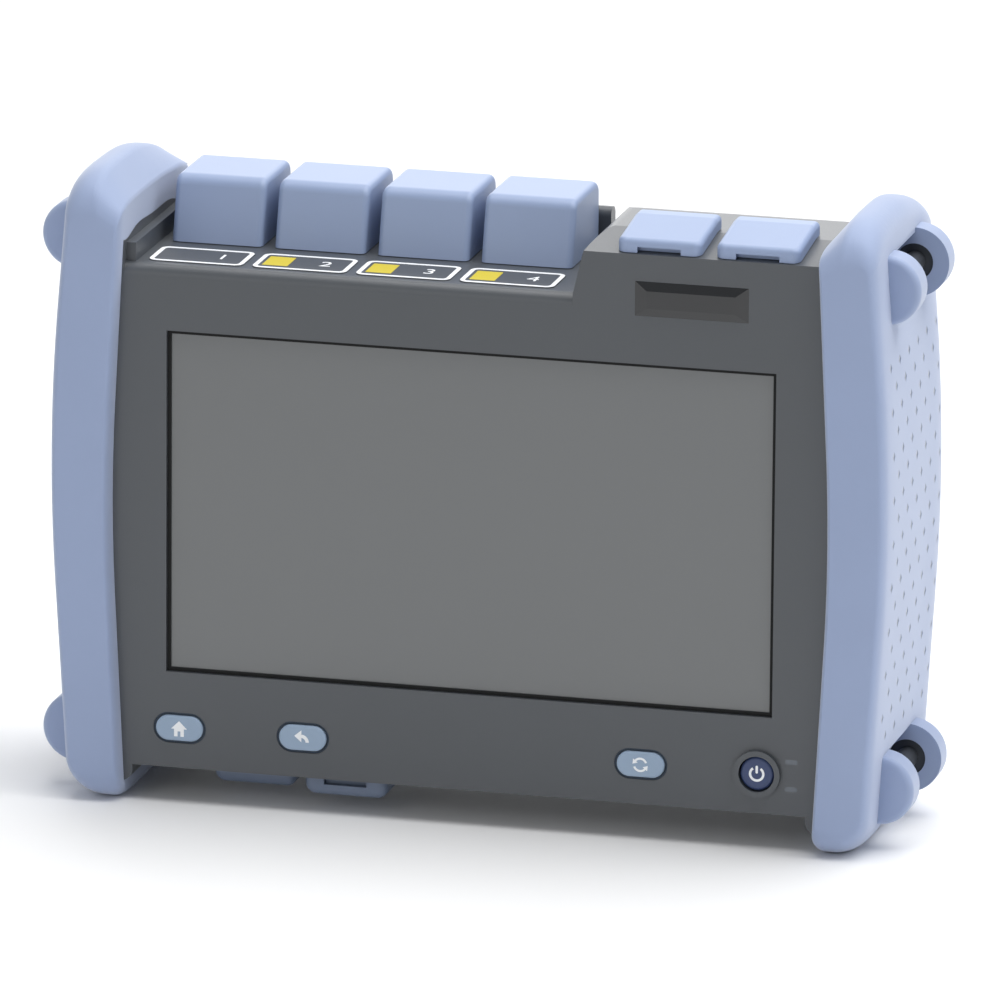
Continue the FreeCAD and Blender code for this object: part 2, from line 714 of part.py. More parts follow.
def key(site, crown):
    """A key cap with the flange that keeps it behind the mat."""
    cap = key_hole(site, 0, front - KEY_PROUD, flange_y)
    face = [edge for edge in cap.Edges if abs(edge.CenterOfMass.y - (front - KEY_PROUD)) < 1e-4]
    cap = cap.makeFillet(crown, face)
    flange = key_hole(site, KEY_FLANGE, flange_y, flange_y + KEY_FLANGE_THICKNESS)
    return join(cap, flange)


def key_domes():
    domes = []
    for x, _, _ in key_sites():
        base = rod_y(DOME_RADIUS, keypad_y - DOME_HEIGHT / 2, keypad_y, x, key_z)
        tip_radius = DOME_RADIUS / 2
        seat = Vector(x, dome_y, key_z)
        tip = Part.makeCone(tip_radius, DOME_RADIUS, DOME_HEIGHT / 2, seat, Vector(0, 1, 0))
        domes.append(join(base, tip))
    return Part.makeCompound(domes)


def keypad_board():
    x0, x1 = mat_span()
    half = MAT_HEIGHT / 2
    y1 = keypad_y + KEYPAD_BOARD_THICKNESS
    board = box(x0, x1, keypad_y, y1, key_z - half, key_z + half)
    return board.cut([rod_y(KEYPAD_SCREW_RADIUS, keypad_y, y1, x, key_z) for x in keypad_post_xs()])


def keypad_screws():
    y1 = keypad_y + KEYPAD_BOARD_THICKNESS
    head = 2 * KEYPAD_SCREW_RADIUS
    return Part.makeCompound([
        screw_y(x, key_z, y1, head, KEYPAD_SCREW_RADIUS, KEYPAD_SCREW_RADIUS, KEYPAD_SCREW_LENGTH)
        for x in keypad_post_xs()
    ])


def screw_y(x, z, seat, head_radius, head_height, radius, length):
    """A screw driven towards the front, with its head behind the seat."""
    head = rod_y(head_radius, seat, seat + head_height, x, z)
    shank = rod_y(radius, seat - length, seat, x, z)
    socket = rod_y(0.45 * head_radius, seat + 0.4 * head_height, seat + head_height, x, z)
    return join(head, shank).cut(socket)


def light_pipes():
    return Part.makeCompound([light_pipe(x, z, front, keypad_y) for x, z in light_pipe_places()])


# --- display ---
def glass_size():
    return SCREEN_WIDTH + 2 * GLASS_MARGIN, SCREEN_HEIGHT + 2 * GLASS_MARGIN


def display_gasket():
    outer = screen_plate(*glass_size(), gasket_y, glass_y)
    hole_width = SCREEN_WIDTH - 2 * GASKET_BORDER
    hole_height = SCREEN_HEIGHT - 2 * GASKET_BORDER
    return outer.cut(screen_plate(hole_width, hole_height, gasket_y, glass_y))


def display_glass():
    return screen_plate(*glass_size(), glass_y, lcd_y)


def display_module():
    return screen_plate(LCD_WIDTH, LCD_HEIGHT, lcd_y, chassis_y)


def nameplate():
    """A plate whose four wide bevels rise to a smaller face."""
    z = floor + NAMEPLATE_RISE
    base = nameplate_plate(front, front + NAMEPLATE_SINK)
    outlines = []
    for y, end, side in ((front, 0, 0), (front - NAMEPLATE_PROUD, NAMEPLATE_END_BEVEL, NAMEPLATE_SIDE_BEVEL)):
        half, high = NAMEPLATE_WIDTH / 2 - end, NAMEPLATE_HEIGHT / 2 - side
        corners = [Vector(NAMEPLATE_X + sx * half, y, z + sz * high)
                   for sx, sz in ((-1, -1), (1, -1), (1, 1), (-1, 1), (-1, -1))]
        outlines.append(Part.makePolygon(corners))
    return join(base, Part.makeLoft(outlines, True, True))


# --- chassis and boards ---
def chassis():
    z = screen_z
    plate = plate_y(CHASSIS_WIDTH, CHASSIS_HEIGHT, CHASSIS_CORNER, chassis_y, standoff_y, 0, z)
    posts = [rod_y(STANDOFF_RADIUS, standoff_y, board_y, x, z) for x, z in main_board_places()]
    plate = plate.fuse(posts)
    for x, z in main_board_places():
        plate = plate.cut(rod_y(STANDOFF_HOLE_RADIUS, chassis_y, board_y, x, z))
    for x, z in column_places():
        plate = plate.cut(rod_y(SCREW_RADIUS, chassis_y, standoff_y, x, z))
    return plate


def main_board():
    z = floor + MAIN_BOARD_RISE
    back = board_y + BOARD_THICKNESS
    board = plate_y(MAIN_BOARD_WIDTH, MAIN_BOARD_HEIGHT, MAIN_BOARD_CORNER, board_y, back, 0, z)
    for x, z in main_board_places():
        board = board.cut(rod_y(STANDOFF_HOLE_RADIUS, board_y, back, x, z))
    return board


def board_shields():
    """Pressed cans over the processor and the acquisition circuits."""
    z = floor + MAIN_BOARD_RISE
    back = board_y + BOARD_THICKNESS
    return Part.makeCompound([
        plate_y(SHIELD_WIDTH, SHIELD_HEIGHT, 1.0, back, back + SHIELD_THICKNESS, sign * FAN_OUT_X, z)
        for sign in (-1, 1)
    ])


def board_screws():
    seat = board_y + BOARD_THICKNESS
    return Part.makeCompound([
        screw_y(x, z, seat, BOARD_SCREW_HEAD_RADIUS, BOARD_SCREW_HEAD_HEIGHT, STANDOFF_HOLE_RADIUS,
                BOARD_SCREW_LENGTH)
        for x, z in main_board_places()
    ])


# --- sockets ---
def top_surface(depth):
    """Height of the socket block's top at a depth behind the case front."""
    climb = min(depth / BLOCK_SLOPE_DEPTH, 1.0)
    return block_front_top + BLOCK_CROWN * climb


def hollow_socket(width, depth, mouth_width, mouth_depth, mouth_length, x, y, z_back, z_mouth):
    """A socket body whose mouth faces along Z from z_back to z_mouth."""
    low, high = sorted((z_back, z_mouth))
    body = box(x - width / 2, x + width / 2, y - depth / 2, y + depth / 2, low, high)
    way = math.copysign(mouth_length, z_back - z_mouth)
    z0, z1 = sorted((z_mouth, z_mouth + way))
    half = mouth_width / 2
    mouth = box(x - half, x + half, y - mouth_depth / 2, y + mouth_depth / 2, z0, z1)
    return body.cut(mouth)


def top_mouth():
    return block_front_top - SOCKET_SINK + BLOCK_CROWN / 4


def top_board_top():
    return top_mouth() - USB_LENGTH


def top_socket_y():
    return front + TOP_COVER_FRONT + COVER_SIZE / 2


def bottom_mouth():
    return floor + SOCKET_SINK


def bottom_board_low():
    return bottom_mouth() + BOTTOM_SOCKET_LENGTH


def dc_y():
    return front + BOTTOM_COVER_1_FRONT + COVER_SIZE / 2


def device_usb_y():
    return front + BOTTOM_COVER_2_FRONT + COVER_SIZE / 2 + DEVICE_USB_SETBACK


def usb_socket():
    tongue_y = top_socket_y()
    socket = hollow_socket(USB_WIDTH, USB_DEPTH, USB_MOUTH_WIDTH, USB_MOUTH_DEPTH, USB_MOUTH_LENGTH,
                           TOP_COVER_1_X, tongue_y, top_board_top(), top_mouth())
    return socket


def lan_socket():
    return hollow_socket(LAN_WIDTH, LAN_DEPTH, LAN_MOUTH_WIDTH, LAN_MOUTH_DEPTH, LAN_MOUTH_LENGTH,
                         TOP_COVER_2_X, top_socket_y(), top_board_top(), top_mouth())


def dc_socket():
    low = bottom_mouth()
    high = bottom_board_low()
    x = BOTTOM_COVER_1_X
    y = dc_y()
    body = box(x - DC_WIDTH / 2, x + DC_WIDTH / 2, y - DC_DEPTH / 2, y + DC_DEPTH / 2, low, high)
    body = body.cut(rod_z(DC_HOLE_RADIUS, low, low + DC_HOLE_DEPTH, x, y))
    return body.fuse(rod_z(DC_PIN_RADIUS, low + 1, high, x, y))


def device_usb_socket():
    return hollow_socket(DEVICE_USB_WIDTH, DEVICE_USB_DEPTH, DEVICE_USB_MOUTH_WIDTH, DEVICE_USB_MOUTH_DEPTH,
                         DEVICE_USB_MOUTH_LENGTH, BOTTOM_COVER_2_X, device_usb_y(), bottom_board_low(),
                         bottom_mouth())


def window(x, y, width, depth, z0, z1):
    half_x = width / 2 + SOCKET_CLEARANCE
    half_y = depth / 2 + SOCKET_CLEARANCE
    return box(x - half_x, x + half_x, y - half_y, y + half_y, z0, z1)


def socket_windows():
    over = block_top + 1
    inside = top_mouth() - 2 * WALL
    under = floor - 1
    above = floor + WALL + 1
    return [
        window(TOP_COVER_1_X, top_socket_y(), USB_WIDTH, USB_DEPTH, inside, over),
        window(TOP_COVER_2_X, top_socket_y(), LAN_WIDTH, LAN_DEPTH, inside, over),
        window(BOTTOM_COVER_1_X, dc_y(), DC_WIDTH, DC_DEPTH, under, above),
        window(BOTTOM_COVER_2_X, device_usb_y(), DEVICE_USB_WIDTH, DEVICE_USB_DEPTH, under, above),
    ]


def top_board_xs():
    return TOP_COVER_1_X - USB_WIDTH / 2 - SHELF_REACH, TOP_COVER_2_X + LAN_WIDTH / 2 + SHELF_REACH / 2


def bottom_board_xs():
    left = BOTTOM_COVER_1_X - DC_WIDTH / 2 - SHELF_REACH
    right = BOTTOM_COVER_2_X + DEVICE_USB_WIDTH / 2 + SHELF_REACH
    return left, right


def top_socket_board():
    x0, x1 = top_board_xs()
    y1 = top_socket_y() + LAN_DEPTH / 2 + SOCKET_BOARD_MARGIN
    return box(x0, x1, mat_y, y1, top_board_top() - BOARD_THICKNESS, top_board_top())


def bottom_board_ys():
    return device_usb_y() - DEVICE_USB_DEPTH / 2, dc_y() + DC_DEPTH / 2


def bottom_socket_board():
    x0, x1 = bottom_board_xs()
    y0, y1 = bottom_board_ys()
    return box(x0, x1, y0, y1, bottom_board_low(), bottom_board_low() + BOARD_THICKNESS)


def io_shelves():
    """Ribs of the front shell that carry the two socket boards."""
    under_top = top_board_top() - BOARD_THICKNESS
    x0, x1 = top_board_xs()
    half = SOCKET_SHELF_WIDTH / 2
    y_end = top_socket_y() + LAN_DEPTH / 2 + 1
    shelves = [socket_shelf(x, mat_y - ROOT, y_end, under_top - SHELF_HEIGHT, under_top)
               for x in (x0 + half, x1 - half)]
    x0, x1 = bottom_board_xs()
    y0, y1 = bottom_board_ys()
    floor_inside = floor + WALL - ROOT
    for x in (x0 + half, x1 - half):
        shelves.append(socket_shelf(x, y0 + 1, y1 - 1, floor_inside, bottom_board_low()))
    return shelves


# --- socket covers and their hinges ---
def cover_sites():
    """(name, x, front depth, surface height at the hinge, way up, thickness)."""
    return [
        ("top_cover_1", TOP_COVER_1_X, TOP_COVER_FRONT, block_top, 1, COVER_THICKNESS),
        ("top_cover_2", TOP_COVER_2_X, TOP_COVER_FRONT, block_top, 1, COVER_THICKNESS),
        ("bottom_cover_1", BOTTOM_COVER_1_X, BOTTOM_COVER_1_FRONT, floor, -1, BOTTOM_COVER_THICKNESS),
        ("bottom_cover_2", BOTTOM_COVER_2_X, BOTTOM_COVER_2_FRONT, floor, -1, BOTTOM_COVER_THICKNESS),
    ]


def cover_axis(front_depth, surface, way):
    y = front + front_depth + COVER_SIZE + COVER_PIN_SETBACK
    return y, surface + way * COVER_PIN_LIFT


def cover_profile(front_depth, surface, way, thickness):
    """The cover's side view: it follows the slope where its front lies on one."""
    y0 = front + front_depth
    y1 = y0 + COVER_SIZE
    if way < 0:
        under = surface - COVER_LIFT
        return [(y0, under), (y1, under), (y1, surface - thickness), (y0, surface - thickness)]
    knee = front + BLOCK_SLOPE_DEPTH
    low = top_surface(front_depth) + COVER_LIFT
    high = surface + COVER_LIFT
    return [(y0, low), (knee, high), (y1, high), (y1, surface + thickness), (knee, surface + thickness),
            (y0, low + thickness - COVER_LIFT)]


def cover(x, front_depth, surface, way, thickness):
    half = COVER_SIZE / 2
    profile = cover_profile(front_depth, surface, way, thickness)
    plate = prism_x(profile, x - half, x + half)
    y0 = front + front_depth
    corners = [edge for edge in plate.Edges
               if abs(edge.CenterOfMass.y - y0) < 1e-3 and abs(abs(edge.CenterOfMass.x - x) - half) < 1e-3]
    plate = plate.makeFillet(COVER_CORNER, corners)
    outer = [edge for edge in plate.Edges if on_cover_face(edge, x, front_depth, surface, way, thickness)]
    plate = plate.makeFillet(TOP_COVER_ROUND if way > 0 else BOTTOM_COVER_ROUND, outer)
    low = profile[0][1]
    z0, z1 = sorted((low - way, low + way * COVER_NOTCH_HEIGHT))
    notch_half = COVER_NOTCH_WIDTH / 2
    plate = plate.cut(box(x - notch_half, x + notch_half, y0 - 1, y0 + COVER_NOTCH_DEPTH, z0, z1))
    y, z = cover_axis(front_depth, surface, way)
    for side in (-1, 1):
        x0, x1 = sorted((x + side * lug_span()[0], x + side * lug_span()[1]))
        x0 -= COVER_LUG_GAP
        x1 += COVER_LUG_GAP
        reach = COVER_LUG_RADIUS + COVER_LUG_GAP
        below, above = sorted((surface - way, z))
        plate = plate.cut([rod_x(reach, x0, x1, y, z), box(x0, x1, y - reach, y + reach, below, above)])
    knuckle_half = COVER_KNUCKLE_WIDTH / 2
    barrel = rod_x(COVER_LUG_RADIUS, x - knuckle_half, x + knuckle_half, y, z)
    arm = box(x - knuckle_half, x + knuckle_half, y - COVER_PIN_SETBACK - 1, y, z - COVER_LUG_RADIUS,
              z + COVER_LUG_RADIUS)
    plate = join(plate, barrel, arm)
    bore = rod_x(COVER_PIN_RADIUS + RUNNING_FIT, x - knuckle_half, x + knuckle_half, y, z)
    return plate.cut(bore)


def on_cover_face(edge, x, front_depth, surface, way, thickness):
    """Whether an edge borders the cover's outer face, other than at its back."""
    y_back = front + front_depth + COVER_SIZE
    middle = edge.CenterOfMass
    low = cover_profile(front_depth, surface, way, thickness)[0][1]
    outer_height = way * (middle.z - low) > thickness - COVER_LIFT - 1e-3
    spans_width = abs(middle.x - x) < 1e-3
    inner_bend = spans_width and abs(middle.y - (front + BLOCK_SLOPE_DEPTH)) < 1e-3
    return outer_height and middle.y < y_back - 1e-3 and not inner_bend


def lug_span():
    inner = COVER_KNUCKLE_WIDTH / 2 + COVER_LUG_GAP
    return inner, inner + COVER_LUG_WIDTH


def cover_lugs():
    lugs = []
    for _, x, front_depth, surface, way, _ in cover_sites():
        y, z = cover_axis(front_depth, surface, way)
        for side in (-1, 1):
            x0, x1 = sorted((x + side * lug_span()[0], x + side * lug_span()[1]))
            z0, z1 = sorted((surface - way * WALL / 2, z))
            lugs.append(rod_x(COVER_LUG_RADIUS, x0, x1, y, z))
            lugs.append(box(x0, x1, y - COVER_LUG_RADIUS, y + COVER_LUG_RADIUS, z0, z1))
    return lugs


def cover_pin(x, y, z):
    reach = lug_span()[1]
    return rod_x(COVER_PIN_RADIUS, x - reach, x + reach, y, z)


def cover_pins():
    return [cover_pin(x, *cover_axis(front_depth, surface, way))
            for _, x, front_depth, surface, way, _ in cover_sites()]


# --- optical ports ---
def hinge_rail():
    """Rounded rib behind the port caps, with a slot for each cap's knuckle."""
    x0 = -cheek_inner
    x1 = port_xs[-1] + CAP_WIDTH / 2 + PIN_END + RAIL_END
    rail = box(x0, x1, hinge_y - RAIL_RADIUS, hinge_y + RAIL_RADIUS, ledge - WALL / 2, hinge_z)
    rail = rail.fuse(rod_x(RAIL_RADIUS, x0, x1, hinge_y, hinge_z))
    for x in port_xs:
        half = KNUCKLE_WIDTH / 2 + KNUCKLE_GAP
        reach = RAIL_RADIUS + 1
        low = hinge_z - RAIL_RADIUS - 2 * KNUCKLE_GAP
        rail = rail.cut(box(x - half, x + half, hinge_y - reach, hinge_y + reach, low, hinge_z + reach))
    return rail


def port_cap_pin():
    reach = CAP_WIDTH / 2 + PIN_END
    return rod_x(HINGE_PIN_RADIUS, port_xs[0] - reach, port_xs[-1] + reach, hinge_y, hinge_z)


def cap_profile(wall):
    """The cap's side view, drawn in by a wall on its front, back and top."""
    low = ledge + CAP_LIFT
    top = ledge + CAP_HEIGHT - wall
    y0 = front + CAP_FRONT_DEPTH + wall
    y1 = cap_back - wall
    if wall:
        low -= 1
    return [(y0, low), (y1, low), (y1, top), (y0 + CAP_LEAN, top)]


def port_cap(x):
    half = CAP_WIDTH / 2
    shell = prism_x(cap_profile(0), x - half, x + half, [0, 0, CAP_TOP_ROUND, CAP_TOP_ROUND])
    low = ledge + CAP_LIFT
    sides = [edge for edge in shell.Edges
             if abs(abs(edge.CenterOfMass.x - x) - half) < 1e-4 and edge.BoundBox.ZMax > low + 1e-4]
    shell = shell.makeFillet(CAP_EDGE_ROUND, sides)
    inner_round = CAP_TOP_ROUND - CAP_WALL / 2
    inner = prism_x(cap_profile(CAP_WALL), x - half + CAP_WALL, x + half - CAP_WALL,
                    [0, 0, inner_round, inner_round])
    shell = shell.cut(inner)
    knuckle = KNUCKLE_WIDTH / 2
    barrel = rod_x(RAIL_RADIUS, x - knuckle, x + knuckle, hinge_y, hinge_z)
    arm = box(x - knuckle, x + knuckle, cap_back - CAP_WALL / 2, hinge_y,
              hinge_z - RAIL_RADIUS, hinge_z + RAIL_RADIUS)
    shell = join(shell, barrel, arm)
    return shell.cut(rod_x(HINGE_PIN_RADIUS + RUNNING_FIT, x - knuckle, x + knuckle, hinge_y, hinge_z))


def adapter_screw_places():
    half = ADAPTER_SCREW_SPAN / 2
    return [(x + side * half, port_y + side * half) for x in port_xs for side in (-1, 1)]


def port_plate():
    x0 = port_xs[0] - PLATE_MARGIN
    x1 = port_xs[-1] + PLATE_MARGIN
    low = plate_top - PLATE_THICKNESS
    plate = box(x0, x1, port_y - PLATE_MARGIN, port_y + PLATE_MARGIN, low, plate_top)
    holes = [rod_z(BARREL_RADIUS, low, plate_top, x, port_y) for x in port_xs]
    holes += [rod_z(ADAPTER_SCREW_RADIUS, low, plate_top, x, y) for x, y in adapter_screw_places()]
    return plate.cut(holes)


def port_adapter(x):
    seat = plate_top + FLANGE_THICKNESS
    flange = plate_z(FLANGE_SIZE, FLANGE_SIZE, 1.0, plate_top, seat, x, port_y)
    barrel = rod_z(BARREL_RADIUS, plate_top - BARREL_TAIL, seat + BARREL_HEIGHT, x, port_y)
    adapter = join(flange, barrel)
    top = seat + BARREL_HEIGHT
    adapter = adapter.cut(rod_z(FERRULE_RADIUS, top - FERRULE_DEPTH, top, x, port_y))
    half = ADAPTER_SCREW_SPAN / 2
    holes = [rod_z(ADAPTER_SCREW_RADIUS, plate_top, seat, x + side * half, port_y + side * half)
             for side in (-1, 1)]
    return adapter.cut(holes)


def adapter_screws():
    seat = plate_top + FLANGE_THICKNESS
    screws = []
    for x, y in adapter_screw_places():
        head = rod_z(ADAPTER_SCREW_HEAD, seat, seat + 1, x, y)
        shank = rod_z(ADAPTER_SCREW_RADIUS, seat - ADAPTER_SCREW_LENGTH, seat, x, y)
        screws.append(join(head, shank))
    return screws


def port_labels():
    y = front + LABEL_DEPTH + LABEL_LENGTH / 2
    top = ledge + LABEL_THICKNESS
    return [plate_z(LABEL_WIDTH, LABEL_LENGTH, LABEL_CORNER, ledge, top, x, y) for x in port_xs]


def module_screw_places():
    middle = (port_xs[0] + port_xs[-1]) / 2
    z = module_top() - MODULE_HEIGHT - MODULE_EAR_HEIGHT / 2
    return [(middle + side * MODULE_EAR_SPAN / 2, z) for side in (-1, 1)]


def module_top():
    return plate_top - BARREL_TAIL


def optical_module():
    """Closed metal box that holds the lasers, the coupler and the receiver."""
    middle = (port_xs[0] + port_xs[-1]) / 2
    back = port_y + MODULE_DEPTH / 2
    z = module_top() - MODULE_HEIGHT / 2
    near = port_y - MODULE_DEPTH / 2
    case = plate_y(MODULE_WIDTH, MODULE_HEIGHT, MODULE_CORNER, near, back, middle, z)
    y0 = back - MODULE_EAR_THICKNESS
    ears = [plate_y(MODULE_EAR_WIDTH, MODULE_EAR_HEIGHT + 2, MODULE_EAR_CORNER, y0, back, x, ear_z + 1)
            for x, ear_z in module_screw_places()]
    module = join(case, *ears)
    return module.cut([rod_y(STANDOFF_HOLE_RADIUS, y0, back, x, ear_z)
                       for x, ear_z in module_screw_places()])


def module_screws():
    """Driven towards the rear, into posts of the rear shell."""
    seat = port_y + MODULE_DEPTH / 2 - MODULE_EAR_THICKNESS
    screws = []
    for x, z in module_screw_places():
        head = rod_y(BOARD_SCREW_HEAD_RADIUS, seat - BOARD_SCREW_HEAD_HEIGHT, seat, x, z)
        shank = rod_y(STANDOFF_HOLE_RADIUS, seat, seat + BOARD_SCREW_LENGTH, x, z)
        screws.append(join(head, shank))
    return screws


# --- rear shell ---
def well_half_sizes():
    return BATTERY_WIDTH / 2 + BATTERY_CLEARANCE, BATTERY_HEIGHT / 2 + BATTERY_CLEARANCE


def battery_z():
    return floor + BATTERY_RISE


def battery_back():
    return rear - DOOR_THICKNESS - BATTERY_CLEARANCE


def rear_box(half_width, half_height, y0, y1):
    z = battery_z()
    return box(-half_width, half_width, y0, y1, z - half_height, z + half_height)


def door_screw_xs():
    reach = well_half_sizes()[0] + DOOR_MARGIN / 2
    return [-reach, reach]


def stand_outline(margin):
    """(x, z) corners of the U-shaped stand, swollen by a margin."""
    outer = STAND_WIDTH / 2 + margin
    inner = STAND_WIDTH / 2 - STAND_LEG_WIDTH - margin
    low = floor + STAND_FOOT_RISE - margin
    bar_top = floor + STAND_FOOT_RISE + STAND_FOOT_WIDTH + margin
    top = floor + STAND_PIVOT_RISE
    return [(-outer, low), (outer, low), (outer, top), (inner, top), (inner, bar_top), (-inner, bar_top),
            (-inner, top), (-outer, top)]


def stand_radii(margin):
    outer = STAND_CORNER_ROUND + margin
    inner = STAND_CORNER_ROUND / 2 - margin
    return [outer, outer, 0, 0, inner, inner, 0, 0]


def stand_axis():
    return rear - STAND_THICKNESS / 2, floor + STAND_PIVOT_RISE


def stand_leg_spans(margin):
    outer = STAND_WIDTH / 2 + margin
    inner = STAND_WIDTH / 2 - STAND_LEG_WIDTH - margin
    return [(-outer, -inner), (inner, outer)]


def tilt_stand():
    y, z = stand_axis()
    frame = prism_y(stand_outline(0), rear - STAND_THICKNESS, rear, stand_radii(0))
    eyes = [rod_x(STAND_THICKNESS / 2, x0, x1, y, z) for x0, x1 in stand_leg_spans(0)]
    bores = [rod_x(STAND_PIN_RADIUS + RUNNING_FIT, x0, x1, y, z) for x0, x1 in stand_leg_spans(0)]
    return join(frame, *eyes).cut(bores)


def stand_pins():
    y, z = stand_axis()
    grip = STAND_CLEARANCE + STAND_PIN_GRIP
    return [rod_x(STAND_PIN_RADIUS, x0, x1, y, z) for x0, x1 in stand_leg_spans(grip)]


def stand_recess():
    """The pocket that the folded stand lies in, and the scoop under its foot."""
    floor_y = rear - STAND_THICKNESS - STAND_CLEARANCE
    top = floor + STAND_PIVOT_RISE
    head = STAND_THICKNESS / 2 + STAND_CLEARANCE
    pocket = prism_y(stand_outline(STAND_CLEARANCE), floor_y, rear + 1, stand_radii(STAND_CLEARANCE))
    heads = [box(x0, x1, floor_y, rear + 1, top - 1, top + head)
             for x0, x1 in stand_leg_spans(STAND_CLEARANCE)]
    foot = floor + STAND_FOOT_RISE
    half = STAND_SCOOP_WIDTH / 2
    scoop = box(-half, half, floor_y, rear + 1, foot - STAND_SCOOP_HEIGHT, foot)
    return pocket.fuse(heads + [scoop])


def stand_backing():
    """Rear-shell material behind and beside the stand's pocket."""
    margin = STAND_CLEARANCE + STAND_PIN_GRIP
    y0 = rear - STAND_THICKNESS - STAND_CLEARANCE - STAND_BACKING
    head = STAND_THICKNESS / 2 + STAND_CLEARANCE + STAND_BACKING
    top = floor + STAND_PIVOT_RISE
    legs = [box(x0, x1, y0, rear - WALL / 2, floor + WALL / 2, top + head)
            for x0, x1 in stand_leg_spans(margin)]
    outer = STAND_WIDTH / 2 + margin
    bar_top = floor + STAND_FOOT_RISE + STAND_FOOT_WIDTH + STAND_CLEARANCE + STAND_BACKING
    bar = box(-outer, outer, y0, rear - WALL / 2, floor + WALL / 2, bar_top)
    return legs + [bar]


def grille_holes():
    z = floor + SPEAKER_RISE
    holes = [rod_y(GRILLE_HOLE_RADIUS, rear - WALL, rear + 1, SPEAKER_X, z)]
    for ring in range(1, GRILLE_RINGS + 1):
        count = 6 * ring
        for step in range(count):
            angle = 2 * math.pi * step / count
            x = SPEAKER_X + ring * GRILLE_PITCH * math.cos(angle)
            hole_z = z + ring * GRILLE_PITCH * math.sin(angle)
            holes.append(rod_y(GRILLE_HOLE_RADIUS, rear - WALL, rear + 1, x, hole_z))
    return holes


def speaker():
    back = rear - WALL
    return rod_y(SPEAKER_RADIUS, back - SPEAKER_THICKNESS, back, SPEAKER_X, floor + SPEAKER_RISE)


def rear_shell(whole):
    wide = half_case + 1
    shell = whole.common(box(-wide, wide, split, rear + 1, 0, BUMPER_TOP))
    columns = [rod_y(COLUMN_RADIUS, standoff_y, rear - WALL / 2, x, z) for x, z in column_places()]
    half_width, half_height = well_half_sizes()
    well_front = battery_back() - BATTERY_DEPTH - BATTERY_CLEARANCE
    well = rear_box(half_width + WELL_WALL, half_height + WELL_WALL,
                    well_front - WELL_WALL, rear - WALL / 2)
    rim_width = half_width + DOOR_MARGIN + WELL_WALL
    rim_height = half_height + DOOR_MARGIN + WELL_WALL
    rim = rear_box(rim_width, rim_height, rear - DOOR_THICKNESS - WELL_WALL, rear - WALL / 2)
    boss_front = rear - DOOR_THICKNESS - DOOR_SCREW_LENGTH - WELL_WALL
    bosses = [rod_y(DOOR_MARGIN / 2 + WELL_WALL / 2, boss_front, rear - WALL / 2, x, battery_z())
              for x in door_screw_xs()]
    posts = [rod_y(STANDOFF_RADIUS, port_y + MODULE_DEPTH / 2, rear - WALL / 2, x, z)
             for x, z in module_screw_places()]
    shell = shell.fuse(columns + [well, rim] + bosses + posts + stand_backing())
    shell = shell.cut(rear_box(half_width, half_height, well_front, rear + 1))
    door_half = half_width + DOOR_MARGIN + DOOR_CLEARANCE
    door_high = half_height + DOOR_MARGIN + DOOR_CLEARANCE
    shell = shell.cut(rear_box(door_half, door_high, rear - DOOR_THICKNESS, rear + 1))
    for x in door_screw_xs():
        screw_end = rear - DOOR_THICKNESS - DOOR_SCREW_LENGTH
        shell = shell.cut(rod_y(DOOR_SCREW_RADIUS, screw_end, rear, x, battery_z()))
    shell = shell.cut(stand_recess())
    shell = shell.cut(stand_pins())
    seat = port_y + MODULE_DEPTH / 2
    for x, z in module_screw_places():
        tip = seat - MODULE_EAR_THICKNESS + BOARD_SCREW_LENGTH
        shell = shell.cut(rod_y(STANDOFF_HOLE_RADIUS, seat, tip, x, z))
    for x, z in column_places():
        shell = shell.cut(rod_y(SCREW_RADIUS, standoff_y, rear + 1, x, z))
        shell = shell.cut(rod_y(SCREW_HEAD_RADIUS, rear - SCREW_HEAD_HEIGHT, rear + 1, x, z))
    return shell.cut(grille_holes())


def case_screws():
    seat = rear - SCREW_HEAD_HEIGHT
    length = seat - (front + SCREW_TIP_DEPTH)
    return [screw_y(x, z, seat, SCREW_HEAD_RADIUS, SCREW_HEAD_HEIGHT, SCREW_RADIUS, length)
            for x, z in column_places()]


def battery_pack():
    z = battery_z()
    back = battery_back()
    return plate_y(BATTERY_WIDTH, BATTERY_HEIGHT, BATTERY_CORNER, back - BATTERY_DEPTH, back, 0, z)


def door_seat():
    return rear - DOOR_SCREW_HEAD_HEIGHT


def battery_door():
    half_width, half_height = well_half_sizes()
    width = 2 * (half_width + DOOR_MARGIN)
    height = 2 * (half_height + DOOR_MARGIN)
    door = plate_y(width, height, DOOR_CORNER, rear - DOOR_THICKNESS, rear, 0, battery_z())
    for x in door_screw_xs():
        door = door.cut(rod_y(DOOR_SCREW_RADIUS, rear - DOOR_THICKNESS, rear, x, battery_z()))
        door = door.cut(rod_y(DOOR_SCREW_HEAD_RADIUS, door_seat(), rear, x, battery_z()))
    return door


def door_screws():
    length = DOOR_SCREW_LENGTH + DOOR_THICKNESS - DOOR_SCREW_HEAD_HEIGHT
    return [screw_y(x, battery_z(), door_seat(), DOOR_SCREW_HEAD_RADIUS, DOOR_SCREW_HEAD_HEIGHT,
                    DOOR_SCREW_RADIUS, length)
            for x in door_screw_xs()]


def case_shells():
    """The two shells, cut from one hollow case along the joint plane."""
    outside = case_outside()
    whole = join(outside, hinge_rail(), *cover_lugs())
    whole = whole.cut(case_form(WALL, FRONT_WALL, WALL, WALL))
    windows = socket_windows()
    half = PORT_WINDOW / 2
    for x in port_xs:
        low, high = ledge - WALL - 1, ledge + 1
        windows.append(box(x - half, x + half, port_y - half, port_y + half, low, high))
    holes = windows + cover_pins() + [port_cap_pin(), seal_ring()]
    whole = whole.cut(holes)
    return outside, front_shell(whole), rear_shell(whole)


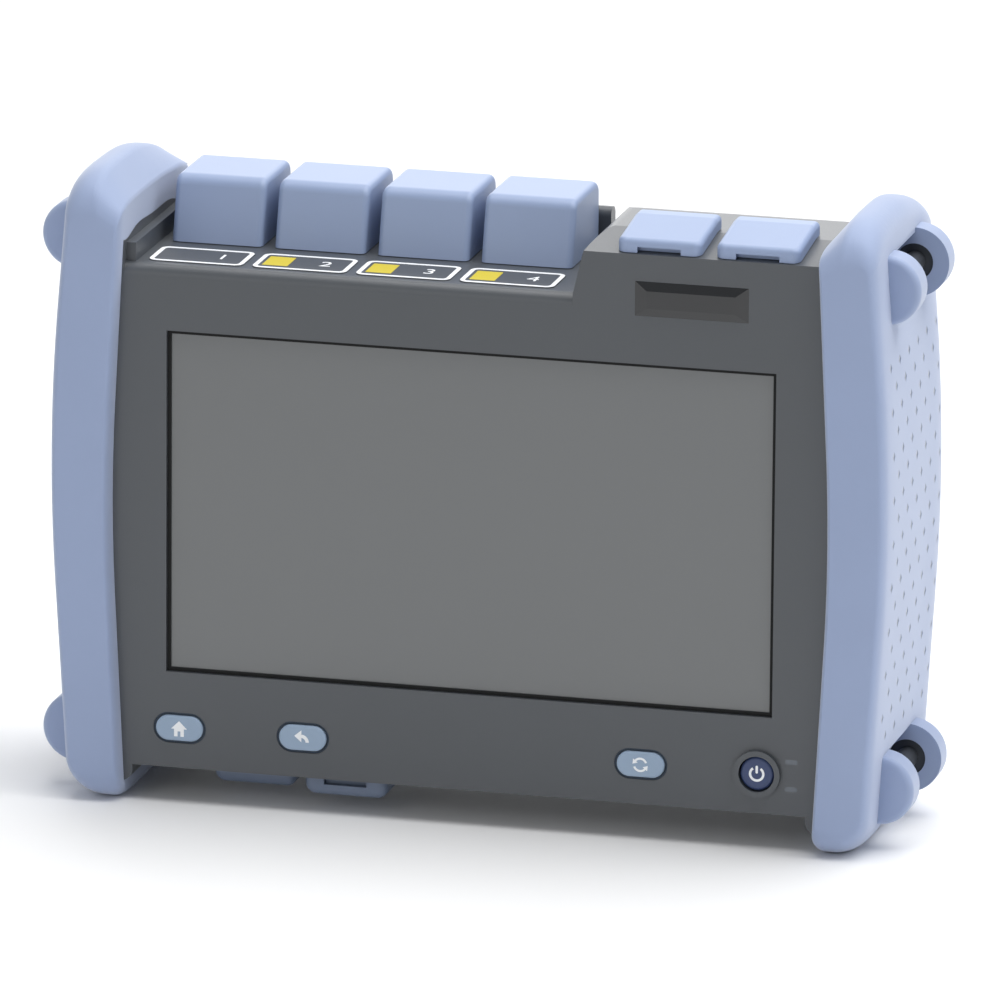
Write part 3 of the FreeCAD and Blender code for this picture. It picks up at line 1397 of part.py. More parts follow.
def build():
    outside, front_case, rear_case = case_shells()
    bumper = bumper_form()
    bars = {"upper": strap_bar(EAR_TOP_HEIGHT), "lower": strap_bar(EAR_FOOT_HEIGHT)}
    sites = key_sites()
    nodes = {
        "front_shell": front_case,
        "rear_shell": rear_case,
        "case_seal": seal_ring(),
        "bumper_right": bumper.cut(outside),
        "bumper_left": mirrored(bumper).cut(outside),
        "strap_bar_upper_right": bars["upper"],
        "strap_bar_lower_right": bars["lower"],
        "strap_bar_upper_left": mirrored(bars["upper"]),
        "strap_bar_lower_left": mirrored(bars["lower"]),
        "display_gasket": display_gasket(),
        "display_glass": display_glass(),
        "display_module": display_module(),
        "nameplate": nameplate(),
        "chassis_frame": chassis(),
        "main_board": main_board(),
        "board_shields": board_shields(),
        "board_screws": board_screws(),
        "keypad_mat": keypad_mat(),
        "home_key": key(sites[0], KEY_CROWN),
        "back_key": key(sites[1], KEY_CROWN),
        "auto_key": key(sites[2], KEY_CROWN),
        "power_key": key(sites[3], POWER_KEY_CROWN),
        "power_key_guard": power_guard(),
        "key_domes": key_domes(),
        "keypad_board": keypad_board(),
        "keypad_screws": keypad_screws(),
        "status_light_pipes": light_pipes(),
        "port_plate": port_plate(),
        "adapter_screws": Part.makeCompound(adapter_screws()),
        "port_cap_pin": port_cap_pin(),
        "port_labels": Part.makeCompound(port_labels()),
        "optical_module": optical_module(),
        "module_screws": Part.makeCompound(module_screws()),
        "cover_pins": Part.makeCompound(cover_pins()),
        "usb_socket": usb_socket(),
        "lan_socket": lan_socket(),
        "dc_socket": dc_socket(),
        "device_usb_socket": device_usb_socket(),
        "top_socket_board": top_socket_board(),
        "bottom_socket_board": bottom_socket_board(),
        "battery_pack": battery_pack(),
        "battery_door": battery_door(),
        "door_screws": Part.makeCompound(door_screws()),
        "tilt_stand": tilt_stand(),
        "stand_pins": Part.makeCompound(stand_pins()),
        "case_screws": Part.makeCompound(case_screws()),
        "speaker": speaker(),
    }
    for number, x in enumerate(port_xs, 1):
        nodes[f"port_cap_{number}"] = port_cap(x)
        nodes[f"port_adapter_{number}"] = port_adapter(x)
    for name, *site in cover_sites():
        nodes[name] = cover(*site)
    return nodes


def main():
    os.makedirs("parts", exist_ok=True)
    for name, shape in build().items():
        solids = len(shape.Solids)
        print(f"{name}: {solids} solid(s), {shape.Volume / 1000:.2f} cm3, valid {shape.isValid()}")
        shape.exportStep(f"parts/{name}.step")


main()
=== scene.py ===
"""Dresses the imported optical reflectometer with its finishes, signs and small moulded details.

Metres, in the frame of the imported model: X to the right, Y to the rear, Z up.
"""

import math

import bmesh
import bpy
from bpy.props import FloatProperty, FloatVectorProperty, IntProperty, PointerProperty
from mathutils import Matrix, Vector


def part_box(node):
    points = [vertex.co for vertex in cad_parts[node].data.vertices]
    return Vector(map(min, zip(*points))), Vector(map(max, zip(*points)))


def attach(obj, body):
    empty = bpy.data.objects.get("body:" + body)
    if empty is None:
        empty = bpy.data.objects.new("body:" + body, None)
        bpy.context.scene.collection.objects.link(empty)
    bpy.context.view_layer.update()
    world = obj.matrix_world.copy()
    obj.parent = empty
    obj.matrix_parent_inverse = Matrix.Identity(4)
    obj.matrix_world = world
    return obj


bl_info = {
    "name": "Reflectometer looks",
    "version": (1, 0, 0),
    "blender": (4, 5, 0),
    "location": "3D View > Sidebar > Reflectometer",
    "description": "Finishes, signs and moulded details of a portable optical reflectometer",
    "category": "Object",
}

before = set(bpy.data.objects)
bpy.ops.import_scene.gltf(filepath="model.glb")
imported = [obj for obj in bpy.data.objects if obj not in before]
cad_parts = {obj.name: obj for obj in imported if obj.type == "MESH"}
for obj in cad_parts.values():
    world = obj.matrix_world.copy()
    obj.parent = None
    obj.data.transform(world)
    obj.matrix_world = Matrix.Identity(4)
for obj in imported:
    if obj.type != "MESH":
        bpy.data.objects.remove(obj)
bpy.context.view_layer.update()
MM = 0.001
SMOOTH_UNDER = math.radians(35)   # edges that turn less than this are shaded smooth
FULL_TURN = 2 * math.pi
FLOOR_HALF = 6.0
ROOM_COLOUR = (0.95, 0.97, 1.0, 1.0)
SENSOR_WIDTH_MM = 36.0
CAMERA_REACH = 50.0
# softboxes: side length, place and the point that each one faces
TOP_BOX = (1.2, (0.25, 0.1, 1.1), (0, 0, 0.1))
SIDE_BOX = (0.9, (1.25, 0.1, 0.95), (0, 0, 0.1))
FRONT_BOX = (1.0, (-0.5, -1.5, 0.6), (0, 0, 0.08))
BACK_BOX = (1.5, (-0.45, 1.7, 0.75), (0, 0, 0.15))
# shares of a label's printed width and height, and its number
PATCH_WIDTH, PATCH_HEIGHT, PATCH_OFF, NUMBER_OFF = 0.27, 0.62, 0.28, 0.22
PATCH_ROUND = 0.3 * MM
NUMBER_SIZE = 6.5 * MM


# --- colours and nodes ---
def linear(code):
    """Linear red, green, blue and alpha of an sRGB hex value."""
    channels = [int(code[i:i + 2], 16) / 255 for i in (1, 3, 5)]
    return [c / 12.92 if c <= 0.04045 else ((c + 0.055) / 1.055) ** 2.4 for c in channels] + [1.0]


def per_metre(size_mm):
    """Texture scale that makes one feature of a pattern this many millimetres wide."""
    return 1000.0 / size_mm


def add(tree, kind, inputs=None, **settings):
    """Adds one node, sets its properties, and fills or links its inputs."""
    made = tree.nodes.new(kind)
    for name, value in settings.items():
        setattr(made, name, value)
    for socket, value in (inputs or {}).items():
        if isinstance(value, bpy.types.NodeSocket):
            tree.links.new(value, made.inputs[socket])
        else:
            made.inputs[socket].default_value = value
    return made


def shade(color, factor):
    """The same colour made lighter or darker."""
    return [min(1.0, c * factor) for c in color[:3]] + [1.0]


def finish_base(name, color, roughness, ior=1.5, metallic=0.0, mottle=0.03, mottle_mm=30.0,
                grain_mm=0.5, grain_depth_mm=0.02, rough_spread=0.06):
    """A surface with cloudy colour, uneven gloss and a fine grain, for the finishes below to build on."""
    material = bpy.data.materials.new(name)
    material.use_nodes = True
    tree = material.node_tree
    shader = tree.nodes["Principled BSDF"]
    shader.inputs["IOR"].default_value = ior
    shader.inputs["Metallic"].default_value = metallic
    place = add(tree, "ShaderNodeTexCoord").outputs["Object"]
    cloud = add(tree, "ShaderNodeTexNoise", {"Vector": place, "Scale": per_metre(mottle_mm), "Detail": 3.0})
    tint = add(tree, "ShaderNodeMix", {0: cloud.outputs["Fac"], 6: shade(color, 1 - mottle),
                                       7: shade(color, 1 + mottle)}, data_type="RGBA")
    grain = add(tree, "ShaderNodeTexNoise", {"Vector": place, "Scale": per_metre(grain_mm), "Detail": 2.0})
    gloss = add(tree, "ShaderNodeMapRange", {"Value": grain.outputs["Fac"],
                                             "To Min": roughness - rough_spread,
                                             "To Max": roughness + rough_spread})
    bump = add(tree, "ShaderNodeBump", {"Height": grain.outputs["Fac"], "Strength": 0.5,
                                        "Distance": grain_depth_mm * MM})
    tree.links.new(tint.outputs[2], shader.inputs["Base Color"])
    tree.links.new(gloss.outputs["Result"], shader.inputs["Roughness"])
    tree.links.new(bump.outputs["Normal"], shader.inputs["Normal"])
    return material, tree, shader, place


# --- finishes ---
def moulded_abs(name, color, roughness=0.5):
    """Injection-moulded ABS from a spark-eroded tool: an even satin whose top faces shine
    pale where they are seen at a slant."""
    # the real grain is about 0.1 mm; drawn at 0.45 mm so that it shows
    material, _, shader, _ = finish_base(name, color, roughness, ior=1.53, mottle=0.035,
                                                mottle_mm=45, grain_mm=0.45, grain_depth_mm=0.03,
                                                rough_spread=0.07)
    shader.inputs["Coat Weight"].default_value = 0.5
    shader.inputs["Coat Roughness"].default_value = 0.3
    return material


def satin_abs(name, color):
    """Moulded ABS from a stoned tool: smoother than the case, with a soft broad highlight."""
    return finish_base(name, color, 0.42, ior=1.53, mottle=0.025, mottle_mm=25, grain_mm=0.35,
                       grain_depth_mm=0.012, rough_spread=0.05)[0]


def pit_depths(tree, place, pit):
    """How deep each point lies in a pit, 0 to 1: two square lattices of diamonds, half a step apart."""
    depths = []
    for half in (0.0, 0.5):
        cell = add(tree, "ShaderNodeVectorMath", {
            0: place, 1: (0.0, 0.5 / pit.column_step, 1 / pit.row_step),
            2: (0.0, half + 0.5 - 0.5 * pit.first_y / pit.column_step,
                half + 0.5 - pit.first_z / pit.row_step)}, operation="MULTIPLY_ADD")
        part = add(tree, "ShaderNodeVectorMath", {0: cell.outputs[0]}, operation="FRACTION")
        off = add(tree, "ShaderNodeVectorMath", {0: part.outputs[0], 1: (0.0, 0.5, 0.5)},
                  operation="SUBTRACT")
        away = add(tree, "ShaderNodeVectorMath", {0: off.outputs[0]}, operation="ABSOLUTE")
        reach = add(tree, "ShaderNodeVectorMath", {
            0: away.outputs[0], 1: (0.0, 4 * pit.column_step / pit.width, 2 * pit.row_step / pit.height)},
            operation="DOT_PRODUCT")
        depths.append(add(tree, "ShaderNodeMapRange", {"Value": reach.outputs["Value"], "From Min": 1.0,
                                                       "From Max": 0.0}).outputs["Result"])
    return add(tree, "ShaderNodeMath", {0: depths[0], 1: depths[1]}, operation="MAXIMUM").outputs[0]


def pit_mask(tree, place, pit):
    """1 on the outer sides of the bumpers, within the patterned field."""
    facing = add(tree, "ShaderNodeNewGeometry").outputs["True Normal"]
    middle_y = pit.first_y + (pit.columns - 1) * pit.column_step / 2
    off = add(tree, "ShaderNodeVectorMath", {0: place, 1: (0.0, middle_y, pit.middle_z)},
              operation="SUBTRACT")
    away = add(tree, "ShaderNodeVectorMath", {0: off.outputs[0]}, operation="ABSOLUTE")
    steep = add(tree, "ShaderNodeVectorMath", {0: facing}, operation="ABSOLUTE")
    place_axes = add(tree, "ShaderNodeSeparateXYZ", {0: away.outputs[0]})
    facing_axes = add(tree, "ShaderNodeSeparateXYZ", {0: steep.outputs[0]})
    mask = add(tree, "ShaderNodeMath", {0: place_axes.outputs["X"], 1: pit.outer_x},
               operation="GREATER_THAN")
    limits = [(place_axes.outputs["Y"], pit.columns * pit.column_step / 2, "LESS_THAN"),
              (place_axes.outputs["Z"], pit.half_length, "LESS_THAN"),
              (facing_axes.outputs["X"], 0.8, "GREATER_THAN")]
    for value, limit, operation in limits:
        test = add(tree, "ShaderNodeMath", {0: value, 1: limit}, operation=operation)
        mask = add(tree, "ShaderNodeMath", {0: mask.outputs[0], 1: test.outputs[0]}, operation="MULTIPLY")
    return mask.outputs[0]


def overmoulded_elastomer(name, color, pit):
    """Thermoplastic elastomer moulded over the case ends: chalky, with a pale bloom where it is seen
    at a slant, and staggered diamond pits in the outer sides that give the hand a grip; painted shade darkens
    the pits' colour."""
    material, tree, shader, place = finish_base(name, color, 0.6, ior=1.48, mottle=0.03, mottle_mm=22,
                                                grain_mm=0.4, grain_depth_mm=0.025, rough_spread=0.05)
    shader.inputs["Sheen Weight"].default_value = 0.45
    shader.inputs["Sheen Roughness"].default_value = 0.5
    pits = add(tree, "ShaderNodeMath", {0: pit_depths(tree, place, pit), 1: pit_mask(tree, place, pit)},
               operation="MULTIPLY").outputs[0]
    sunk = add(tree, "ShaderNodeMath", {0: pits, 1: -1.0}, operation="MULTIPLY").outputs[0]
    bump = add(tree, "ShaderNodeBump", {"Height": sunk, "Strength": 1.0, "Distance": pit.depth,
                                        "Normal": shader.inputs["Normal"].links[0].from_socket})
    # painted shade: the base colour is darkened to 0.6 of itself towards the bottom of each pit
    shadow = add(tree, "ShaderNodeMapRange", {"Value": pits, "From Max": 0.4, "To Min": 1.0,
                                              "To Max": 0.6})
    dark = add(tree, "ShaderNodeVectorMath", {0: shader.inputs["Base Color"].links[0].from_socket,
                                              "Scale": shadow.outputs["Result"]}, operation="SCALE")
    tree.links.new(dark.outputs["Vector"], shader.inputs["Base Color"])
    tree.links.new(bump.outputs["Normal"], shader.inputs["Normal"])
    return material


def etched_glass(name, color):
    """Acid-etched cover glass over a dark panel: an even grey veil instead of sharp reflections."""
    material, _, shader, _ = finish_base(name, color, 0.24, ior=1.52, mottle=0.02, mottle_mm=120,
                                            grain_mm=0.6, grain_depth_mm=0.002, rough_spread=0.02)
    shader.inputs["Coat Weight"].default_value = 0.3
    shader.inputs["Coat Roughness"].default_value = 0.12
    return material


def moulded_silicone(name, color, roughness=0.5):
    """Compression-moulded silicone: deep colour under a faint waxy bloom."""
    material, _, shader, _ = finish_base(name, color, roughness, ior=1.43, mottle=0.04, mottle_mm=8,
                                            grain_mm=0.3, grain_depth_mm=0.01, rough_spread=0.08)
    shader.inputs["Sheen Weight"].default_value = 0.15
    return material


def cellular_foam(name, color):
    """Closed-cell foam strip: dull black with tiny open cells at its cut face."""
    return finish_base(name, color, 0.85, mottle=0.15, mottle_mm=2, grain_mm=0.35, grain_depth_mm=0.08)[0]


def gloss_acrylic(name, color):
    """Cast acrylic plate with a polished face: deep black that mirrors the room softly."""
    material, _, shader, _ = finish_base(name, color, 0.12, ior=1.49, mottle=0.05, mottle_mm=6,
                                            grain_mm=0.8, grain_depth_mm=0.001, rough_spread=0.03)
    shader.inputs["Coat Weight"].default_value = 0.6
    shader.inputs["Coat Roughness"].default_value = 0.05
    return material


def zinc_plated_steel(name, color):
    """Zinc-plated steel: pale grey metal with a slight cloudy spangle."""
    return finish_base(name, color, 0.32, metallic=1.0, mottle=0.12, mottle_mm=3, grain_mm=0.4,
                       grain_depth_mm=0.004, rough_spread=0.08)[0]


def turned_nickel(name, color):
    """Nickel-plated turned brass: warm bright metal with fine rings from the lathe."""
    material, tree, shader, place = finish_base(name, color, 0.18, metallic=1.0, mottle=0.05, mottle_mm=4,
                                            grain_mm=0.5, grain_depth_mm=0.002, rough_spread=0.05)
    rings = add(tree, "ShaderNodeTexWave", {"Vector": place, "Scale": per_metre(0.6) / 20, "Distortion": 0.3},
                bands_direction="Z")
    bump = add(tree, "ShaderNodeBump", {"Height": rings.outputs["Fac"], "Strength": 0.3,
                                        "Distance": 0.004 * MM,
                                        "Normal": shader.inputs["Normal"].links[0].from_socket})
    tree.links.new(bump.outputs["Normal"], shader.inputs["Normal"])
    return material


def milled_aluminium(name, color):
    """Milled and alodined aluminium sheet: soft grey metal with faint straight tool lines."""
    material, tree, shader, place = finish_base(name, color, 0.38, metallic=1.0, mottle=0.06, mottle_mm=10,
                                            grain_mm=0.5, grain_depth_mm=0.004, rough_spread=0.07)
    lines = add(tree, "ShaderNodeTexNoise", {"Vector": add(tree, "ShaderNodeMapping", {
        "Vector": place, "Scale": (0.02, 1.0, 1.0)}).outputs["Vector"], "Scale": per_metre(0.4)})
    bump = add(tree, "ShaderNodeBump", {"Height": lines.outputs["Fac"], "Strength": 0.4,
                                        "Distance": 0.01 * MM,
                                        "Normal": shader.inputs["Normal"].links[0].from_socket})
    tree.links.new(bump.outputs["Normal"], shader.inputs["Normal"])
    return material


def solder_mask(name, color):
    """Glass-epoxy board under green solder mask: glossy lacquer over faint copper runs."""
    material, tree, shader, place = finish_base(name, color, 0.3, ior=1.55, mottle=0.05, mottle_mm=12,
                                            grain_mm=0.5, grain_depth_mm=0.003)
    runs = add(tree, "ShaderNodeTexBrick", {"Vector": place, "Scale": per_metre(9.0), "Mortar Size": 0.04,
                                            "Color1": color, "Color2": shade(color, 0.85),
                                            "Mortar": shade(color, 1.5)})
    mixed = add(tree, "ShaderNodeMix", {0: 0.5, 6: shader.inputs["Base Color"].links[0].from_socket,
                                        7: runs.outputs["Color"]}, data_type="RGBA")
    tree.links.new(mixed.outputs[2], shader.inputs["Base Color"])
    return material


def screen_ink(name, color):
    """Screen-printed ink film: flat colour with the faint tooth of the mesh."""
    return finish_base(name, color, 0.5, mottle=0.03, mottle_mm=3, grain_mm=0.25, grain_depth_mm=0.004)[0]


def studio_floor(name, color):
    """Seamless paper: matte and nearly white, with the least trace of fibre."""
    return finish_base(name, color, 0.9, mottle=0.004, mottle_mm=400, grain_mm=2.0, grain_depth_mm=0.01)[0]


# --- sizes and colours that can be changed ---
def colour(name, text, code):
    return FloatVectorProperty(name=name, description=text, subtype="COLOR", size=4, min=0, max=1,
                               default=linear(code))


def length(name, text, value_mm):
    return FloatProperty(name=name, description=text, unit="LENGTH", default=value_mm * MM)


class CaseLook(bpy.types.PropertyGroup):
    """Colours of the case, its bumpers and what is set into it."""
    case: colour("Case", "Dark grey of the two case shells", "#44484D")
    bumper: colour("Bumpers", "Light blue of the elastomer bumpers", "#93A2C2")
    cap: colour("Caps and covers", "Light blue of the port caps and top covers", "#8F9FBF")
    # painted shade: the bottom covers are the caps' blue plastic, given a darker colour for the shade they
    # sit in
    low_cover_painted_shade: colour("Bottom covers", "Caps' blue darkened as painted shade on the two bottom covers", "#616D82")
    key: colour("Keys", "Pale blue of the three oblong keys", "#93A7BE")
    power: colour("Power key", "Navy of the power key", "#33426A")
    rim: colour("Key rims", "Navy of the silicone round the keys", "#2A3848")
    glass: colour("Screen", "Grey of the switched-off screen", "#6B6D6E")
    plate: colour("Nameplate", "Black of the bare nameplate", "#15171A")
    ink: colour("White ink", "Signs and label frames", "#F1F3F5")
    patch: colour("Yellow ink", "Patches on three of the labels", "#CDBB32")


class PitLook(bpy.types.PropertyGroup):
    """The grip pattern in the outer sides of the bumpers."""
    column_step: length("Column step", "Distance between columns of pits", 5.0)
    row_step: length("Row step", "Distance between pits in one column", 11.15)
    width: length("Width", "Width of a pit", 2.8)
    height: length("Height", "Height of a pit", 3.0)
    depth: length("Depth", "Depth of a pit", 0.5)
    first_y: length("First column", "Place of the first column from front to rear", -24.5)
    first_z: length("First row", "Height of one pit in the first column", 124.3)
    middle_z: length("Middle", "Middle height of the pattern", 76.9)
    half_length: length("Half length", "Half the height of the pattern", 48.6)
    outer_x: length("Outer face", "The pattern lies further out than this", 100.0)
    columns: IntProperty(name="Columns", description="Number of columns of pits", default=11)


class SignLook(bpy.types.PropertyGroup):
    """Line widths and thicknesses of what is printed."""
    thickness: length("Ink thickness", "Thickness of printed ink and inlaid signs", 0.06)
    frame_line: length("Label line", "Width of the white line round a label", 1.15)
    frame_inset: length("Label inset", "Label film's edge to its white line", 0.1)
    frame_round: length("Label corner", "Corner radius of the white line", 2.2)
    sign_height: length("Sign height", "Height of the signs on the keys", 4.1)


class StageLook(bpy.types.PropertyGroup):
    """Floor, lights and camera."""
    floor: colour("Floor", "Colour of the floor", "#F7F7F7")
    top_power: FloatProperty(name="Top light", description="Power of the overhead softbox", default=15.0,
                             unit="POWER")
    side_power: FloatProperty(name="Side light", description="Power of the softbox at the right",
                              default=3.3, unit="POWER")
    front_power: FloatProperty(name="Front light", description="Power of the front fill", default=3.3,
                               unit="POWER")
    back_power: FloatProperty(name="Back light", description="Power of the softbox behind the object",
                              default=13.0, unit="POWER")
    room: FloatProperty(name="Room light", description="Strength of the even light all round", default=0.36)
    azimuth: FloatProperty(name="Azimuth", description="Camera's turn to the right of the front",
                           subtype="ANGLE", default=math.radians(14.61))
    elevation: FloatProperty(name="Elevation", description="Camera's height angle", subtype="ANGLE",
                             default=math.radians(14.96))
    roll: FloatProperty(name="Roll", description="Camera's roll", subtype="ANGLE",
                        default=math.radians(0.41))
    distance: FloatProperty(name="Distance", description="Camera to the middle of the screen",
                            unit="LENGTH", default=3.488)
    focal: FloatProperty(name="Focal length", description="Camera's lens in millimetres on a 36 mm sensor",
                         default=507.5)
    aim_right: FloatProperty(name="Aim right", subtype="ANGLE", default=0.002227,
                             description="How far the camera looks past the screen's middle")
    aim_up: FloatProperty(name="Aim up", description="How far the camera looks above the screen's middle",
                          subtype="ANGLE", default=0.001695)
    target_z: length("Target height", "Height of the screen's middle", 78.0)


# --- mesh helpers ---
def finished(mesh, name, material, body="case", smooth=True):
    """Turns a bmesh into a piece of the object that rides on a body."""
    data = bpy.data.meshes.new(name)
    mesh.to_mesh(data)
    mesh.free()
    piece = bpy.data.objects.new(name, data)
    bpy.context.scene.collection.objects.link(piece)
    data.materials.append(material)
    if smooth:
        data.shade_smooth()
        data.set_sharp_from_angle(angle=SMOOTH_UNDER)
    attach(piece, body)
    return piece


def sheet_from_outline(points, thickness):
    """A thin plate with this outline in its own XY plane, from z 0 up to the thickness."""
    mesh = bmesh.new()
    mesh.faces.new([mesh.verts.new((x, y, 0)) for x, y in points])
    return thickened(mesh, thickness)


def rounded_sheet(width, height, radius):
    """A flat rounded rectangle about the origin."""
    corners = [(x * width / 2, y * height / 2) for x, y in ((-1, -1), (1, -1), (1, 1), (-1, 1))]
    mesh = bmesh.new()
    mesh.faces.new([mesh.verts.new((x, y, 0)) for x, y in corners])
    bmesh.ops.bevel(mesh, geom=list(mesh.verts), offset=radius, segments=6, profile=0.5,
                    affect="VERTICES", material=-1)
    return mesh


def thickened(mesh, thickness):
    """Gives flat faces in the XY plane a thickness upwards."""
    grown = bmesh.ops.extrude_face_region(mesh, geom=list(mesh.faces))["geom"]
    lifted = [part for part in grown if isinstance(part, bmesh.types.BMVert)]
    bmesh.ops.translate(mesh, vec=(0, 0, thickness), verts=lifted)
    bmesh.ops.recalc_face_normals(mesh, faces=mesh.faces)
    return mesh


def frame_sheet(width, height, radius, line, thickness):
    """A thin rounded frame about the origin."""
    mesh = rounded_sheet(width, height, radius)
    inner = list(mesh.faces)
    bmesh.ops.inset_region(mesh, faces=inner, thickness=line, use_even_offset=True, use_boundary=True)
    bmesh.ops.delete(mesh, geom=inner, context="FACES")
    return thickened(mesh, thickness)


def ring_sector(radius, line, start, sweep, thickness, steps=20):
    """A thin arc about the origin, by spinning a short radial line."""
    mesh = bmesh.new()
    near = mesh.verts.new((radius - line / 2, 0, 0))
    far = mesh.verts.new((radius + line / 2, 0, 0))
    edge = mesh.edges.new((near, far))
    bmesh.ops.rotate(mesh, verts=mesh.verts, cent=(0, 0, 0), matrix=Matrix.Rotation(start, 3, "Z"))
    bmesh.ops.spin(mesh, geom=[near, far, edge], cent=(0, 0, 0), axis=(0, 0, 1), angle=sweep, steps=steps,
                   use_merge=abs(sweep) >= FULL_TURN)
    return thickened(mesh, thickness)


def joined(*meshes):
    """One bmesh that holds several."""
    whole = bmesh.new()
    for mesh in meshes:
        data = bpy.data.meshes.new("part")
        mesh.to_mesh(data)
        mesh.free()
        whole.from_mesh(data)
        bpy.data.meshes.remove(data)
    return whole


def onto_front(mesh, x, y, z):
    """Stands a sheet up to face the front, with its base at y."""
    turn = Matrix.Translation((x, y, z)) @ Matrix.Rotation(math.radians(90), 4, "X")
    bmesh.ops.transform(mesh, matrix=turn, verts=mesh.verts)
    return mesh


def onto_top(mesh, x, y, z):
    """Lays a sheet on a level face, with its base at z."""
    bmesh.ops.translate(mesh, vec=(x, y, z), verts=mesh.verts)
    return mesh


def dress(material, *nodes):
    """Gives CAD nodes a finish."""
    for name in nodes:
        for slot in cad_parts[name].material_slots:
            slot.material = material


def nodes_named(start):
    """CAD nodes whose names begin like this, in order."""
    return sorted(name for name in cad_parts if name.startswith(start))


def look():
    """The colours that the finishes are given."""
    return bpy.context.scene.reflectometer_case


# --- operators ---
class REFLECTOMETER_OT_bumpers(bpy.types.Operator):
    """Finish the bumpers and the strap bars"""
    bl_idname = "reflectometer.bumpers"
    bl_label = "Bumpers"

    def execute(self, context):
        rubber = overmoulded_elastomer("Overmoulded elastomer", look().bumper,
                                       context.scene.reflectometer_pits)
        dress(rubber, "bumper_left", "bumper_right")
        dress(satin_abs("Moulded bar", linear("#3A3D42")), *nodes_named("strap_bar"))
        return {"FINISHED"}


class REFLECTOMETER_OT_case(bpy.types.Operator):
    """Finish the two case shells, the stand and the battery door"""
    bl_idname = "reflectometer.case"
    bl_label = "Case"

    def execute(self, context):
        grey = moulded_abs("Moulded ABS", look().case)
        dress(grey, "front_shell", "rear_shell", "tilt_stand", "battery_door", "power_key_guard")
        return {"FINISHED"}


class REFLECTOMETER_OT_caps(bpy.types.Operator):
    """Finish the port caps and the socket covers"""
    bl_idname = "reflectometer.caps"
    bl_label = "Caps and covers"

    def execute(self, context):
        blue = satin_abs("Satin ABS", look().cap)
        dress(blue, *[f"port_cap_{index}" for index in (1, 2, 3, 4)], *nodes_named("top_cover"))
        # painted shade: the bottom covers get a darker copy of the caps' blue satin finish
        dress(satin_abs("Satin ABS with painted shade", look().low_cover_painted_shade), *nodes_named("bottom_cover"))
        return {"FINISHED"}


class REFLECTOMETER_OT_display(bpy.types.Operator):
    """Finish the screen, its gasket and the bare nameplate"""
    bl_idname = "reflectometer.display"
    bl_label = "Display"

    def execute(self, context):
        dress(etched_glass("Etched cover glass", look().glass), "display_glass")
        dress(cellular_foam("Closed-cell foam", linear("#0C0D0E")), "display_gasket")
        dress(gloss_acrylic("Gloss acrylic", look().plate), "nameplate")
        return {"FINISHED"}


def home_sign(size, thickness):
    """A house: a gable over a body."""
    w, h = size / 2, size / 2
    points = [(-0.62 * w, -h), (-0.18 * w, -h), (-0.18 * w, -0.35 * h), (0.18 * w, -0.35 * h),
              (0.18 * w, -h), (0.62 * w, -h), (0.62 * w, -0.05 * h), (w, -0.05 * h), (0, 0.95 * h),
              (-w, -0.05 * h), (-0.62 * w, -0.05 * h)]
    return sheet_from_outline(points, thickness)


def back_sign(size, thickness):
    """An arrow that turns back to the left."""
    w, h = size / 2, size / 2
    head = sheet_from_outline([(-w, 0.25 * h), (-0.1 * w, -0.5 * h), (-0.1 * w, h)], thickness)
    tail = ring_sector(0.75 * w, 0.42 * w, math.radians(90), math.radians(-90), thickness, steps=10)
    bmesh.ops.translate(tail, vec=(-0.12 * w, -0.5 * h, 0), verts=tail.verts)
    return joined(head, tail)


def repeat_sign(size, thickness):
    """Two arrows that chase each other round a circle."""
    w = size / 2
    parts = []
    for start in (20, 200):
        parts.append(ring_sector(0.78 * w, 0.26 * w, math.radians(start), math.radians(120), thickness,
                                 steps=10))
        tip = sheet_from_outline([(-0.36 * w, 0), (0.36 * w, 0), (0, 0.55 * w)], thickness)
        angle = math.radians(start + 120)
        turn = Matrix.Rotation(angle, 4, "Z") @ Matrix.Translation((0.78 * w, 0, 0))
        bmesh.ops.transform(tip, matrix=turn, verts=tip.verts)
        parts.append(tip)
    return joined(*parts)


def power_sign(size, thickness):
    """A broken ring with a bar in its gap."""
    w = size / 2
    line = 0.3 * w
    ring = ring_sector(0.82 * w, line, math.radians(125), math.radians(290), thickness, steps=28)
    bar = rounded_sheet(line, w, line * 0.49)
    bmesh.ops.translate(bar, vec=(0, 0.55 * w, 0), verts=bar.verts)
    return joined(ring, thickened(bar, thickness))


class REFLECTOMETER_OT_keys(bpy.types.Operator):
    """Finish the keys and print their signs"""
    bl_idname = "reflectometer.keys"
    bl_label = "Keys"

    def execute(self, context):
        sizes = context.scene.reflectometer_signs
        dress(satin_abs("Satin key caps", look().key), "home_key", "back_key", "auto_key")
        dress(satin_abs("Satin power key", look().power), "power_key")
        dress(moulded_silicone("Navy silicone", look().rim), "keypad_mat")
        ink = screen_ink("White ink", look().ink)
        signs = {"home_key": home_sign, "back_key": back_sign, "auto_key": repeat_sign,
                 "power_key": power_sign}
        for key, draw in signs.items():
            low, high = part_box(key)
            middle = (low + high) / 2
            sign = onto_front(draw(sizes.sign_height, sizes.thickness), middle.x, low.y, middle.z)
            finished(sign, key + "_sign", ink, key, smooth=False)
        return {"FINISHED"}


